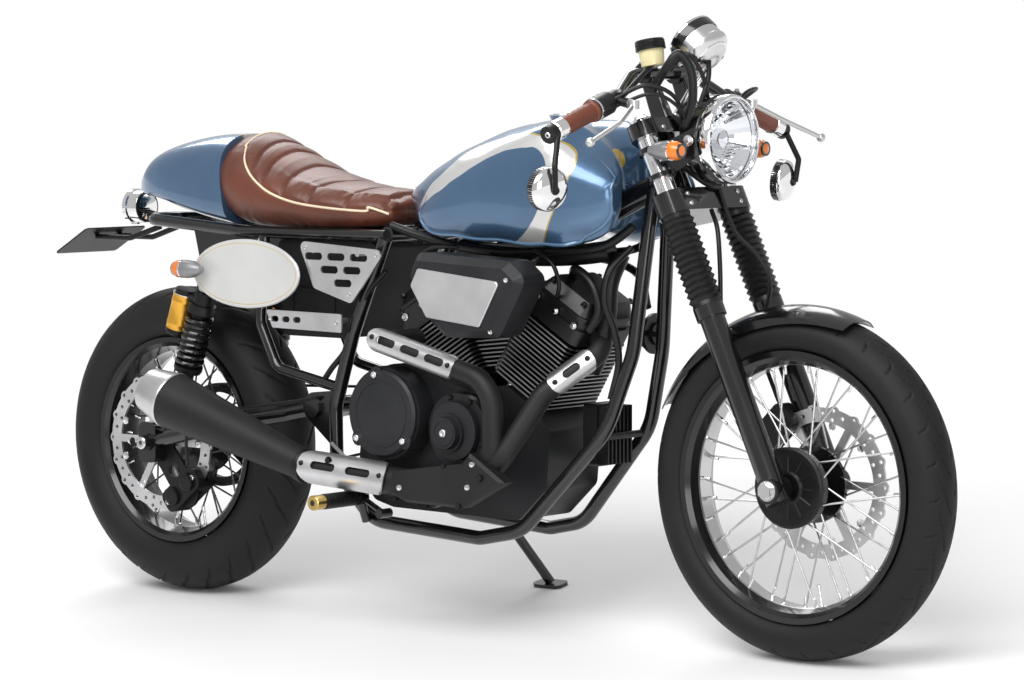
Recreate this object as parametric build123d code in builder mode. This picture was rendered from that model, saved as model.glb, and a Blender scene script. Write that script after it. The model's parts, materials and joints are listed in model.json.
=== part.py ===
from build123d import *
import os
from math import atan2, cos, radians, sin, tan

os.makedirs("parts", exist_ok=True)

# The motorcycle is drawn upright: X forward, Y to its left, Z up, origin on the ground
# under the rear axle. It is then leaned on its side stand, about the X axis.

# Driving dimensions, millimetres and degrees
WHEELBASE = 1570
LEAN = 9.5
RAKE = 24.6
FORK_OFFSET = 45

FRONT_RADIUS = 326
FRONT_TYRE_WIDTH = 102
FRONT_TYRE_HEIGHT = 85
FRONT_CROWN = 54
REAR_RADIUS = 321
REAR_TYRE_WIDTH = 150
REAR_TYRE_HEIGHT = 118
REAR_CROWN = 80

SLIDER_RADIUS = 24
TUBE_RADIUS = 14
BELT_WIDTH = 18

# Clearances
FIT = 0.15
SEATED = 0.3
RUNNING = 1.0
FORK_GAP = 20
BELT_CLEARANCE = 5.8
FRAME_CLEARANCE = 1.5

# Widths that follow from the tyres: the fork legs and the front disc stand clear of the front
# tyre, and the belt, the frame and the swingarm clear of the rear one
FRONT_BEAD_RADIUS = FRONT_RADIUS - FRONT_TYRE_HEIGHT
REAR_BEAD_RADIUS = REAR_RADIUS - REAR_TYRE_HEIGHT
FORK_SPREAD = FRONT_TYRE_WIDTH / 2 + FORK_GAP + SLIDER_RADIUS
FRONT_DISC_Y = FORK_SPREAD - 33
FRONT_FLANGE_Y = FORK_SPREAD - 61
BELT_Y = REAR_TYRE_WIDTH / 2 + BELT_CLEARANCE + BELT_WIDTH / 2
REAR_DISC_Y = -REAR_TYRE_WIDTH / 2 - 21
FRAME_Y = BELT_Y + BELT_WIDTH / 2 + FRAME_CLEARANCE + TUBE_RADIUS
SWINGARM_Y = FRAME_Y + 10
RAIL_Y = FRAME_Y - 10
GUSSET_Y = RAIL_Y - 6
BOX_Y = FRAME_Y - TUBE_RADIUS - 3.5
BOARD_Y = FRAME_Y + 44
SIDE_PLATE_Y = FRAME_Y + 26

# Derived frame of the front fork
UP_X = -sin(radians(RAKE))
UP_Z = cos(radians(RAKE))


def axle_height(radius, crown):
    """Height of an axle whose tyre, leaned over on its crown, just touches the ground."""
    return radius - crown + crown / cos(radians(LEAN))


FRONT_AXLE_Z = axle_height(FRONT_RADIUS, FRONT_CROWN)
REAR_AXLE_Z = axle_height(REAR_RADIUS, REAR_CROWN)
FRONT_AXLE = Vector(WHEELBASE, 0, FRONT_AXLE_Z)
REAR_AXLE = Vector(0, 0, REAR_AXLE_Z)
FORK_UP = Vector(UP_X, 0, UP_Z)
FORK_AHEAD = Vector(UP_Z, 0, -UP_X)
LEFT = Vector(0, 1, 0)
SIDES = ((-1, "right"), (1, "left"))
PARKED = Rotation(-LEAN, 0, 0)


pieces = {}


def save(builder, label):
    """Lean a finished piece as the parked motorcycle leans, and keep it for export."""
    leaned = PARKED * builder.part
    leaned.label = label
    pieces[label] = leaned


def fork_point(along, ahead=0.0, left=0.0):
    """A point by its distance up the fork leg from the axle, ahead of it and to the left."""
    return FRONT_AXLE + FORK_UP * along + FORK_AHEAD * ahead + LEFT * left


def by_axle(back, left, up):
    """A point by its distance behind the front axle, to the left of it and above it."""
    return FRONT_AXLE + Vector(-back, left, up)


def fork_plane(along, ahead=0.0, left=0.0):
    return Plane(fork_point(along, ahead, left), x_dir=FORK_AHEAD, z_dir=FORK_UP)


def wheel_plane(axle):
    """Sketch plane through a wheel's axis: x is to the left, y is the radius."""
    return Plane(axle, x_dir=LEFT, z_dir=(1, 0, 0))


def side_plane(y):
    """Sketch plane seen from the right: x forward, y up, extruding outward to the right."""
    return Plane((0, y, 0), x_dir=(1, 0, 0), z_dir=(0, -1, 0))


def spin_axis(axle):
    return Axis(axle, LEFT)


def tube(points, radii, radius):
    """A round tube along straight runs that tangent arcs join."""
    with BuildPart() as run:
        with BuildLine() as path:
            if len(points) > 2:
                FilletPolyline(*points, radius=radii)
            else:
                Line(*points)
        start = path.line @ 0
        with BuildSketch(Plane(start, z_dir=path.line % 0)):
            Circle(radius)
        sweep(path=path.line)
    return run.part


def rod(start, end, radius):
    """A straight round bar between two points."""
    start = Vector(start)
    end = Vector(end)
    with BuildPart() as bar:
        with BuildSketch(Plane(start, z_dir=end - start)):
            Circle(radius)
        extrude(amount=(end - start).length)
    return bar.part


def dome_middle(rim_x, rim_r, apex_x):
    """Middle of a spherical cap's arc, whose rim and apex are given along its axis."""
    rise = abs(apex_x - rim_x)
    toward = 1 if apex_x > rim_x else -1
    ball = (rim_r**2 + rise**2) / (2 * rise)
    half = atan2(rim_r, ball - rise) / 2
    return (apex_x - toward * ball * (1 - cos(half)), ball * sin(half))


def mirrored(points, side):
    """Points drawn for the left side, put on the side asked for."""
    return [(x, y * side, z) for x, y, z in points]


# Tyres: bead between the rim lips, bulging sidewall, round crown
RIM_LIP_HEIGHT = 13
RIM_LIP_WIDTH = 6
CROWN_EDGE_ANGLE = 62


def tyre(axle, radius, width, crown, bead_radius, rim_inside):
    edge_y = crown * sin(radians(CROWN_EDGE_ANGLE))
    edge_r = radius - crown + crown * cos(radians(CROWN_EDGE_ANGLE))
    bead_y = rim_inside / 2 - SEATED
    lip_r = bead_radius + RIM_LIP_HEIGHT
    seat_r = bead_radius + FIT
    wall_r = (edge_r + lip_r) / 2 + 2
    with BuildPart() as ring:
        with BuildSketch(wheel_plane(axle)):
            with BuildLine():
                Line((-bead_y, seat_r), (bead_y, seat_r))
                Line((bead_y, seat_r), (bead_y, lip_r + 1))
                ThreePointArc((bead_y, lip_r + 1), (width / 2, wall_r), (edge_y, edge_r))
                ThreePointArc((edge_y, edge_r), (0, radius), (-edge_y, edge_r))
                ThreePointArc((-edge_y, edge_r), (-width / 2, wall_r), (-bead_y, lip_r + 1))
                Line((-bead_y, lip_r + 1), (-bead_y, seat_r))
            make_face()
        revolve(axis=spin_axis(axle))
    return ring


FRONT_RIM_INSIDE = 76
REAR_RIM_INSIDE = 112

front_tyre = tyre(
    FRONT_AXLE, FRONT_RADIUS, FRONT_TYRE_WIDTH, FRONT_CROWN, FRONT_BEAD_RADIUS, FRONT_RIM_INSIDE
)
save(front_tyre, "front_tyre")
rear_tyre = tyre(
    REAR_AXLE, REAR_RADIUS, REAR_TYRE_WIDTH, REAR_CROWN, REAR_BEAD_RADIUS, REAR_RIM_INSIDE
)
save(rear_tyre, "rear_tyre")


# Wheels: drop-centre rim, crossed wire spokes, hub barrel with two flanges
RIM_WELL_DEPTH = 15
SPOKE_RADIUS = 2
SPOKE_SWEEP = 26
AXLE_RADIUS = 10
HUB_BORE = AXLE_RADIUS + 0.4


def wire_wheel(axle, bead_radius, inside, hub_r, flange_r, flange_y, spokes):
    """Rim section from lip to lip, with spokes that cross between flange and well."""
    lip_r = bead_radius + RIM_LIP_HEIGHT
    well_r = bead_radius - RIM_WELL_DEPTH
    half = inside / 2
    outer = half + RIM_LIP_WIDTH
    section = [
        (-outer, lip_r), (-half, lip_r), (-half, bead_radius),
        (half, bead_radius), (half, lip_r), (outer, lip_r),
        (outer, bead_radius + 2), (half - 2, bead_radius - 6), (half * 0.45, well_r),
        (-half * 0.45, well_r), (-half + 2, bead_radius - 6), (-outer, bead_radius + 2),
    ]
    with BuildPart() as wheel:
        with BuildSketch(wheel_plane(axle)):
            with BuildLine():
                Polyline(*section, close=True)
            make_face()
        revolve(axis=spin_axis(axle))
        with BuildSketch(wheel_plane(axle)):
            with BuildLine():
                Polyline(
                    (-flange_y - 4, HUB_BORE), (flange_y + 4, HUB_BORE),
                    (flange_y + 4, flange_r + 6), (flange_y - 4, flange_r + 6),
                    (flange_y - 8, hub_r), (-flange_y + 8, hub_r),
                    (-flange_y + 4, flange_r + 6), (-flange_y - 4, flange_r + 6),
                    close=True,
                )
            make_face()
        revolve(axis=spin_axis(axle))
        wires = []
        for number in range(spokes):
            side = 1 if number % 2 else -1
            lean = SPOKE_SWEEP if (number // 2) % 2 else -SPOKE_SWEEP
            at = number * 360 / spokes
            hub = radians(at + lean)
            rim = radians(at)
            foot_y = side * (flange_y + (5 if lean < 0 else -5))
            foot = axle + Vector(flange_r * cos(hub), foot_y, flange_r * sin(hub))
            head_y = side * (8 if lean > 0 else 14)
            head = axle + Vector((well_r + 3) * cos(rim), head_y, (well_r + 3) * sin(rim))
            wires.append(rod(foot, head, SPOKE_RADIUS))
        add(wires)
    return wheel


FRONT_SPOKES = 36
REAR_SPOKES = 36
REAR_FLANGE_Y = 42
DRUM_RADIUS = 74
DRUM_DEPTH = 20

front_wheel = wire_wheel(
    FRONT_AXLE, FRONT_BEAD_RADIUS, FRONT_RIM_INSIDE, 30, 66, FRONT_FLANGE_Y, FRONT_SPOKES
)
with BuildPart() as front_wheel_hub:
    add(front_wheel.part)
    drum_face = Plane(
        FRONT_AXLE - LEFT * (FRONT_FLANGE_Y - 6), x_dir=(1, 0, 0), z_dir=(0, -1, 0)
    )
    with BuildSketch(drum_face):
        Circle(DRUM_RADIUS)
        Circle(HUB_BORE, mode=Mode.SUBTRACT)
    extrude(amount=DRUM_DEPTH)
    with BuildSketch(drum_face.offset(DRUM_DEPTH)):
        Circle(26)
        Circle(HUB_BORE, mode=Mode.SUBTRACT)
    extrude(amount=8)
save(front_wheel_hub, "front_wheel")

rear_wheel = wire_wheel(
    REAR_AXLE, REAR_BEAD_RADIUS, REAR_RIM_INSIDE, 42, 70, REAR_FLANGE_Y, REAR_SPOKES
)
save(rear_wheel, "rear_wheel")


# Brake discs with a waved edge, drilled with two staggered rows of holes
DISC_THICKNESS = 5
DISC_BAND = 32
WAVES = 18
FRONT_DISC_RADIUS = 147
REAR_DISC_RADIUS = 148
DISC_HOLE = 4


def wave_disc(axle, y, radius, seat_y):
    """Disc band on a spider whose boss reaches back to the hub flange."""
    face = Plane(axle + LEFT * (y - DISC_THICKNESS / 2), x_dir=(-1, 0, 0), z_dir=LEFT)
    reach = abs(seat_y - y) + DISC_THICKNESS / 2
    toward = -1 if y > seat_y else 1
    with BuildPart() as disc:
        with BuildSketch(face):
            Circle(radius - 5)
            with PolarLocations(radius - 12, WAVES):
                Circle(12)
            Circle(radius - DISC_BAND, mode=Mode.SUBTRACT)
            for inward, offset in ((8, 0), (17, 0.5), (26, 0)):
                with PolarLocations(radius - inward, WAVES, start_angle=offset * 360 / WAVES):
                    Circle(DISC_HOLE, mode=Mode.SUBTRACT)
        extrude(amount=DISC_THICKNESS)
        with BuildSketch(face):
            with PolarLocations(0, 6):
                with Locations((radius / 2, 0)):
                    Rectangle(radius - DISC_BAND + 14, 16)
            Circle(44)
            Circle(30, mode=Mode.SUBTRACT)
        extrude(amount=DISC_THICKNESS)
        with BuildSketch(Plane(axle + LEFT * y, x_dir=(1, 0, 0), z_dir=LEFT * toward)):
            Circle(44)
            Circle(30, mode=Mode.SUBTRACT)
        extrude(amount=reach - DISC_THICKNESS / 2)
    return disc


front_disc = wave_disc(FRONT_AXLE, FRONT_DISC_Y, FRONT_DISC_RADIUS, FRONT_FLANGE_Y + 4)
save(front_disc, "front_disc")
rear_disc = wave_disc(REAR_AXLE, REAR_DISC_Y, REAR_DISC_RADIUS, -REAR_FLANGE_Y - 4)
save(rear_disc, "rear_disc")

# Belt drive on the left: toothed rear pulley, front pulley on the gearbox, flat belt loop
BELT_THICKNESS = 5
REAR_PULLEY_RADIUS = 105
FRONT_PULLEY_RADIUS = 46
PULLEY_TEETH = 48
GEARBOX_SHAFT = Vector(600, 0, 404)
BELT_GAP = 0.5

with BuildPart() as rear_pulley:
    pulley_face = Plane(
        REAR_AXLE + LEFT * (BELT_Y - BELT_WIDTH / 2), x_dir=(-1, 0, 0), z_dir=LEFT
    )
    with BuildSketch(pulley_face):
        Circle(REAR_PULLEY_RADIUS)
        Circle(REAR_PULLEY_RADIUS - 14, mode=Mode.SUBTRACT)
        with PolarLocations(REAR_PULLEY_RADIUS, PULLEY_TEETH):
            Rectangle(4, 5, mode=Mode.SUBTRACT)
    extrude(amount=BELT_WIDTH)
    with BuildSketch(pulley_face):
        with PolarLocations(0, 5):
            with Locations((REAR_PULLEY_RADIUS / 2, 0)):
                Rectangle(REAR_PULLEY_RADIUS - 8, 22)
        Circle(46)
        Circle(30, mode=Mode.SUBTRACT)
    extrude(amount=8)
    with BuildSketch(pulley_face):
        Circle(46)
        Circle(30, mode=Mode.SUBTRACT)
    extrude(amount=-(BELT_Y - BELT_WIDTH / 2 - REAR_FLANGE_Y - 4))
save(rear_pulley, "rear_pulley")

with BuildPart() as drive_belt:
    inner_rear = REAR_PULLEY_RADIUS + BELT_GAP
    inner_front = FRONT_PULLEY_RADIUS + BELT_GAP
    with BuildSketch(Plane((0, BELT_Y - BELT_WIDTH / 2, 0), x_dir=(-1, 0, 0), z_dir=LEFT)):
        with BuildSketch(mode=Mode.PRIVATE) as outline:
            with Locations((0, REAR_AXLE_Z)):
                Circle(inner_rear)
            with Locations((-GEARBOX_SHAFT.X, GEARBOX_SHAFT.Z)):
                Circle(inner_front)
            make_hull()
        add(offset(outline.sketch, amount=BELT_THICKNESS, mode=Mode.PRIVATE))
        add(outline.sketch, mode=Mode.SUBTRACT)
    extrude(amount=BELT_WIDTH)
save(drive_belt, "drive_belt")

# Axles with their nuts
FRONT_AXLE_END = FORK_SPREAD + 29
REAR_AXLE_END = SWINGARM_Y + 34

with BuildPart() as front_axle:
    with BuildSketch(Plane(FRONT_AXLE - LEFT * (FRONT_AXLE_END - 8), z_dir=LEFT)):
        Circle(AXLE_RADIUS)
    extrude(amount=2 * FRONT_AXLE_END - 16)
    for side in (-1, 1):
        with BuildSketch(Plane(FRONT_AXLE + LEFT * side * (FORK_SPREAD + 24), z_dir=LEFT * side)):
            RegularPolygon(15, 6)
        extrude(amount=10)
save(front_axle, "front_axle")

with BuildPart() as rear_axle:
    with BuildSketch(Plane(REAR_AXLE - LEFT * (REAR_AXLE_END - 4), z_dir=LEFT)):
        Circle(AXLE_RADIUS)
    extrude(amount=2 * REAR_AXLE_END - 8)
    for side in (-1, 1):
        with BuildSketch(Plane(REAR_AXLE + LEFT * side * (SWINGARM_Y + 16), z_dir=LEFT * side)):
            Circle(18)
        extrude(amount=4)
        with BuildSketch(Plane(REAR_AXLE + LEFT * side * (SWINGARM_Y + 20), z_dir=LEFT * side)):
            RegularPolygon(15, 6)
        extrude(amount=12)
save(rear_axle, "rear_axle")

# Telescopic fork: sliders, ribbed gaiters, bright stanchions
SLIDER_TOP = 366
STANCHION_RADIUS = 20.5
STANCHION_FOOT = 300
LOWER_YOKE = 548
LOWER_YOKE_HEIGHT = 44
UPPER_YOKE = 706
UPPER_YOKE_HEIGHT = 30
GAITER_RIBS = 13
GAITER_OUTER = 32
GAITER_VALLEY = 27

with BuildPart() as fork_sliders:
    for side in (-1, 1):
        leg = side * FORK_SPREAD
        with BuildSketch(fork_plane(-26, 0, leg)):
            Circle(SLIDER_RADIUS)
        extrude(amount=SLIDER_TOP + 26)
        with BuildSketch(fork_plane(SLIDER_TOP - 24, 0, leg)):
            Circle(SLIDER_RADIUS + 5)
        extrude(amount=24)
        with BuildSketch(fork_plane(STANCHION_FOOT, 0, leg)):
            Circle(STANCHION_RADIUS + FIT)
        extrude(amount=SLIDER_TOP, mode=Mode.SUBTRACT)
        with BuildSketch(Plane(fork_point(0, 0, side * (FORK_SPREAD - 24)), z_dir=LEFT * side)):
            Circle(24)
        extrude(amount=48)
        with BuildSketch(Plane(fork_point(0, 0, side * (FORK_SPREAD - 30)), z_dir=LEFT * side)):
            Circle(AXLE_RADIUS + FIT)
        extrude(amount=60, mode=Mode.SUBTRACT)
save(fork_sliders, "fork_sliders")

with BuildPart() as fork_stanchions:
    for side in (-1, 1):
        with BuildSketch(fork_plane(STANCHION_FOOT + RUNNING, 0, side * FORK_SPREAD)):
            Circle(STANCHION_RADIUS)
        extrude(amount=UPPER_YOKE + UPPER_YOKE_HEIGHT + 6 - STANCHION_FOOT)
save(fork_stanchions, "fork_stanchions")

with BuildPart() as fork_gaiters:
    gaiter_foot = SLIDER_TOP + SEATED
    gaiter_head = LOWER_YOKE - SEATED
    pitch = (gaiter_head - gaiter_foot - 16) / GAITER_RIBS
    bore = STANCHION_RADIUS + FIT
    profile = [(bore, gaiter_foot), (GAITER_VALLEY + 2, gaiter_foot)]
    for rib in range(GAITER_RIBS):
        profile.append((GAITER_VALLEY, gaiter_foot + 8 + rib * pitch))
        profile.append((GAITER_OUTER, gaiter_foot + 8 + (rib + 0.5) * pitch))
    profile.append((GAITER_VALLEY, gaiter_head - 8))
    profile.append((GAITER_VALLEY + 2, gaiter_head))
    profile.append((bore, gaiter_head))
    for side in (-1, 1):
        leg_face = Plane(fork_point(0, 0, side * FORK_SPREAD), x_dir=FORK_AHEAD, z_dir=-LEFT)
        with BuildSketch(leg_face):
            with BuildLine():
                Polyline(*profile, close=True)
            make_face()
        revolve(axis=Axis(fork_point(0, 0, side * FORK_SPREAD), FORK_UP))
save(fork_gaiters, "fork_gaiters")

# Front caliper behind the left leg
with BuildPart() as front_caliper:
    caliper_at = FRONT_AXLE + Vector(-100, FRONT_DISC_Y, 98)
    tangent = Vector(0.7, 0, 0.714)
    caliper_face = Plane(caliper_at - LEFT * 24, x_dir=tangent, z_dir=LEFT)
    with BuildSketch(caliper_face):
        RectangleRounded(96, 56, 14)
    extrude(amount=FORK_SPREAD - SLIDER_RADIUS - FRONT_DISC_Y + 24 - SEATED)
    with BuildSketch(Plane(FRONT_AXLE + LEFT * (FRONT_DISC_Y - 5.5), x_dir=(1, 0, 0), z_dir=LEFT)):
        Circle(FRONT_DISC_RADIUS + 3)
    extrude(amount=11, mode=Mode.SUBTRACT)
save(front_caliper, "front_caliper")

# Yokes, joined by the steering stem
STEM_RADIUS = 14
HEAD_PIPE_FOOT = LOWER_YOKE + LOWER_YOKE_HEIGHT + RUNNING
HEAD_PIPE_TOP = UPPER_YOKE - RUNNING

with BuildPart() as fork_yokes:
    for foot, height, clamp, boss in (
        (LOWER_YOKE, LOWER_YOKE_HEIGHT, 32, 28),
        (UPPER_YOKE, UPPER_YOKE_HEIGHT, 31, 30),
    ):
        with BuildSketch(fork_plane(foot)):
            with Locations((0, -FORK_SPREAD), (0, FORK_SPREAD)):
                Circle(clamp)
            with Locations((-FORK_OFFSET, 0)):
                Circle(boss)
            make_hull()
        extrude(amount=height)
    with BuildSketch(fork_plane(LOWER_YOKE - 1)):
        with Locations((0, -FORK_SPREAD), (0, FORK_SPREAD)):
            Circle(STANCHION_RADIUS + FIT)
    extrude(amount=UPPER_YOKE + UPPER_YOKE_HEIGHT - LOWER_YOKE + 2, mode=Mode.SUBTRACT)
    with BuildSketch(fork_plane(LOWER_YOKE + 2)):
        with Locations((-FORK_OFFSET, 0)):
            Circle(STEM_RADIUS)
    extrude(amount=UPPER_YOKE - LOWER_YOKE + 4)
    with BuildSketch(fork_plane(UPPER_YOKE + UPPER_YOKE_HEIGHT)):
        with Locations((-FORK_OFFSET, 0)):
            RegularPolygon(20, 6)
    extrude(amount=12)
save(fork_yokes, "fork_yokes")

# Handlebar: low and drooping, held by two risers that stand on the upper yoke
BAR_RADIUS = 11
BAR_BEND = 40
BAR_CENTRE = by_axle(332, 0, 764)
BAR_HALF = [by_axle(332, 92, 763), by_axle(308, 165, 721), by_axle(312, 366, 653)]
BAR_POINTS = mirrored(BAR_HALF[::-1], -1) + BAR_HALF
RISER_Y = 48
RISER_WIDTH = 26
RISER_AHEAD = 16
RISER_HEIGHT = 98

with BuildPart() as handlebar:
    add(tube(BAR_POINTS, BAR_BEND, BAR_RADIUS))
    for side in (-1, 1):
        with BuildSketch(fork_plane(UPPER_YOKE + UPPER_YOKE_HEIGHT, RISER_AHEAD, side * RISER_Y)):
            RectangleRounded(42, RISER_WIDTH, 9)
        extrude(amount=RISER_HEIGHT - 8, taper=4)
        clamp_start = BAR_CENTRE + LEFT * (side * RISER_Y - RISER_WIDTH / 2)
        with BuildSketch(Plane(clamp_start, z_dir=LEFT)):
            Circle(20)
        extrude(amount=RISER_WIDTH)
save(handlebar, "handlebar")

GRIP_RADIUS = 17
GRIP_LENGTH = 118
BAR_OUT = (BAR_HALF[2] - BAR_HALF[1]).normalized()
GRIP_START = BAR_HALF[1] + BAR_OUT * 82


def on_side(vector, side):
    return Vector(vector.X, vector.Y * side, vector.Z)


def bar_plane(along, side):
    """Section plane of the bar's straight end, by distance from the grip's inner end."""
    centre = on_side(GRIP_START + BAR_OUT * along, side)
    return Plane(centre, x_dir=(1, 0, 0), z_dir=on_side(BAR_OUT, side))


def collar(plane, outer, length):
    """A sleeve round the handlebar."""
    with BuildPart() as sleeve:
        with BuildSketch(plane):
            Circle(outer)
            Circle(BAR_RADIUS + FIT, mode=Mode.SUBTRACT)
        extrude(amount=length)
    return sleeve.part


for side, name in SIDES:
    with BuildPart() as grip:
        add(collar(bar_plane(0, side), GRIP_RADIUS + 3, 5))
        add(collar(bar_plane(5, side), GRIP_RADIUS, GRIP_LENGTH - 30))
        add(collar(bar_plane(GRIP_LENGTH - 25, side), GRIP_RADIUS + 1, 25))
    save(grip, f"grip_{name}")

# Hand controls: switch housing, lever perch and curved lever with a ball end
LEVER_THICKNESS = 9
LEVER_END = by_axle(218, 366, 639)
LEVER_KNEE = by_axle(232, 262, 673)
CUP_FOOT = by_axle(289, -84, 778)
CUP_UP = Vector(-0.2, 0, 1).normalized()
CUP_HEIGHT = 32
for side, name in SIDES:
    with BuildPart() as control:
        add(collar(bar_plane(-SEATED - 46, side), 22, 46))
        add(collar(bar_plane(-SEATED - 74, side), 17, 28))
        perch = on_side(GRIP_START - BAR_OUT * 60, side)
        pivot = perch + Vector(52, side * 2, -8)
        add(rod(perch + Vector(14, 0, 0), pivot, 9))
        lever_end = on_side(LEVER_END, side)
        add(tube([pivot, on_side(LEVER_KNEE, side), lever_end], 60, LEVER_THICKNESS / 2))
        with Locations(lever_end):
            Sphere(9)
        with BuildSketch(Plane(pivot + Vector(0, 0, -8), z_dir=(0, 0, 1))):
            Circle(11)
        extrude(amount=16)
        if side < 0:
            add(rod(perch + Vector(17, 0, 0), CUP_FOOT + CUP_UP * 4, 5))
            with BuildSketch(Plane(CUP_FOOT, z_dir=CUP_UP)):
                Circle(21)
            extrude(amount=CUP_HEIGHT, taper=-5)
            with BuildSketch(Plane(CUP_FOOT + CUP_UP * CUP_HEIGHT, z_dir=CUP_UP)):
                Circle(28)
            extrude(amount=17, taper=3)
    save(control, f"hand_control_{name}")

# Bar-end mirrors: clamp on the bar's end, bent arm, round shell
MIRROR_RADIUS = 41
MIRROR_CENTRE = by_axle(318, 372, 553)
for side, name in SIDES:
    with BuildPart() as mirror_arm:
        clamp_start = GRIP_LENGTH + SEATED
        add(collar(bar_plane(clamp_start, side), 17, 12))
        with BuildSketch(bar_plane(clamp_start + 12, side)):
            Circle(17)
        extrude(amount=6)
        hold = on_side(GRIP_START + BAR_OUT * (clamp_start + 8), side) + Vector(15, 0, -9)
        elbow = on_side(MIRROR_CENTRE, side) + Vector(34, side * 14, 42)
        tip = on_side(MIRROR_CENTRE, side) + Vector(30, side * 8, -2)
        add(tube([hold, elbow, tip], 12, 5.5))
        back = on_side(MIRROR_CENTRE, side) + Vector(10, 0, 0)
        add(rod(tip, back, 6))
        facing = Vector(-1, -side * 0.22, 0.12).normalized()
        with BuildSketch(Plane(back, z_dir=facing)):
            Circle(MIRROR_RADIUS)
        extrude(amount=14)
        with BuildSketch(Plane(back, z_dir=facing)):
            Circle(MIRROR_RADIUS)
        extrude(amount=-14, taper=50)
    save(mirror_arm, f"mirror_{name}")

# Headlight shell with two ears to the fork, lens, and speedometer above it
LENS_CENTRE = by_axle(168, 0, 641)
LENS_RADIUS = 84
LAMP_DEPTH = 93
with BuildPart() as headlight_shell:
    with BuildSketch(Plane(LENS_CENTRE, x_dir=(1, 0, 0), z_dir=(0, -1, 0))):
        with BuildLine():
            Line((-4, 0), (-4, LENS_RADIUS - 4))
            Line((-4, LENS_RADIUS - 4), (2, LENS_RADIUS - 4))
            Line((2, LENS_RADIUS - 4), (2, LENS_RADIUS))
            Line((2, LENS_RADIUS), (-12, LENS_RADIUS))
            Line((-12, LENS_RADIUS), (-16, LENS_RADIUS - 4))
            Line((-16, LENS_RADIUS - 4), (-42, LENS_RADIUS - 4))
            ThreePointArc(
                (-42, LENS_RADIUS - 4),
                dome_middle(-42, LENS_RADIUS - 4, -LAMP_DEPTH),
                (-LAMP_DEPTH, 0),
            )
            Line((-LAMP_DEPTH, 0), (-4, 0))
        make_face()
    revolve(axis=Axis(LENS_CENTRE, (1, 0, 0)))
save(headlight_shell, "headlight_shell")

with BuildPart() as headlight_lens:
    with BuildSketch(Plane(LENS_CENTRE, x_dir=(1, 0, 0), z_dir=(0, -1, 0))):
        with BuildLine():
            Line((-4 + SEATED, 0), (-4 + SEATED, LENS_RADIUS - 4 - SEATED))
            Line((-4 + SEATED, LENS_RADIUS - 4 - SEATED), (1, LENS_RADIUS - 4 - SEATED))
            ThreePointArc(
                (1, LENS_RADIUS - 4 - SEATED), dome_middle(1, LENS_RADIUS - 4 - SEATED, 9), (9, 0)
            )
            Line((9, 0), (-4 + SEATED, 0))
        make_face()
    revolve(axis=Axis(LENS_CENTRE, (1, 0, 0)))
save(headlight_lens, "headlight_lens")


def signal_lamp(centre, facing):
    """Bullet lamp that tapers to the rear, facing forward (1) or backward (-1)."""
    with BuildPart() as lamp:
        with BuildSketch(Plane(centre, x_dir=(facing, 0, 0), z_dir=(0, -1, 0))):
            with BuildLine():
                Polyline((-43, 0), (34, 0), (34, 14), (0, 18), (-20, 16), (-34, 10))
                ThreePointArc((-34, 10), dome_middle(-34, 10, -43), (-43, 0))
            make_face()
        revolve(axis=Axis(centre, (facing, 0, 0)))
    return lamp.part


# Bracket: two plates from the lower to the upper yoke that hold lamp and indicators
SIGNAL_Y = FORK_SPREAD + 39
EAR_Y = FORK_SPREAD - 5
with BuildPart() as headlight_bracket:
    for side in (-1, 1):
        ear = Plane(
            (LENS_CENTRE.X, side * EAR_Y, LENS_CENTRE.Z), x_dir=(1, 0, 0), z_dir=(0, -1, 0)
        )
        leg_high = fork_point(684, STANCHION_RADIUS + 3, 0)
        leg_low = fork_point(622, STANCHION_RADIUS + 3, 0)
        with BuildSketch(ear):
            with BuildLine():
                Polyline(
                    (leg_low.X - LENS_CENTRE.X, leg_low.Z - LENS_CENTRE.Z), (-18, -32), (-18, 24),
                    (leg_high.X - LENS_CENTRE.X, leg_high.Z - LENS_CENTRE.Z), close=True,
                )
            make_face()
        extrude(amount=2, both=True)
        for along in (622, 676):
            with BuildSketch(fork_plane(along, 0, side * FORK_SPREAD)):
                Circle(STANCHION_RADIUS + 6)
                Circle(STANCHION_RADIUS + FIT, mode=Mode.SUBTRACT)
            extrude(amount=10)
            grip_at = fork_point(along, STANCHION_RADIUS + 6, side * (EAR_Y + 1))
            add(rod(grip_at, grip_at + FORK_UP * 10, 5))
        hold = LENS_CENTRE - Vector(30, 0, 2)
        add(rod(hold + LEFT * side * (LENS_RADIUS - 2), hold + LEFT * side * (EAR_Y + 6), 9))
    ring_start = LENS_CENTRE - Vector(40, 0, 0)
    with BuildSketch(Plane(ring_start, x_dir=(0, 1, 0), z_dir=(1, 0, 0))):
        Circle(LENS_RADIUS)
        Circle(LENS_RADIUS - 4 + FIT, mode=Mode.SUBTRACT)
    extrude(amount=16)
    for side in (-1, 1):
        stalk = LENS_CENTRE - Vector(50, 0, 20)
        lamp_centre = stalk + LEFT * side * SIGNAL_Y
        add(rod(stalk + LEFT * side * EAR_Y, lamp_centre - LEFT * side * 12, 6))
        add(signal_lamp(lamp_centre, 1))
save(headlight_bracket, "headlight_bracket")

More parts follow.
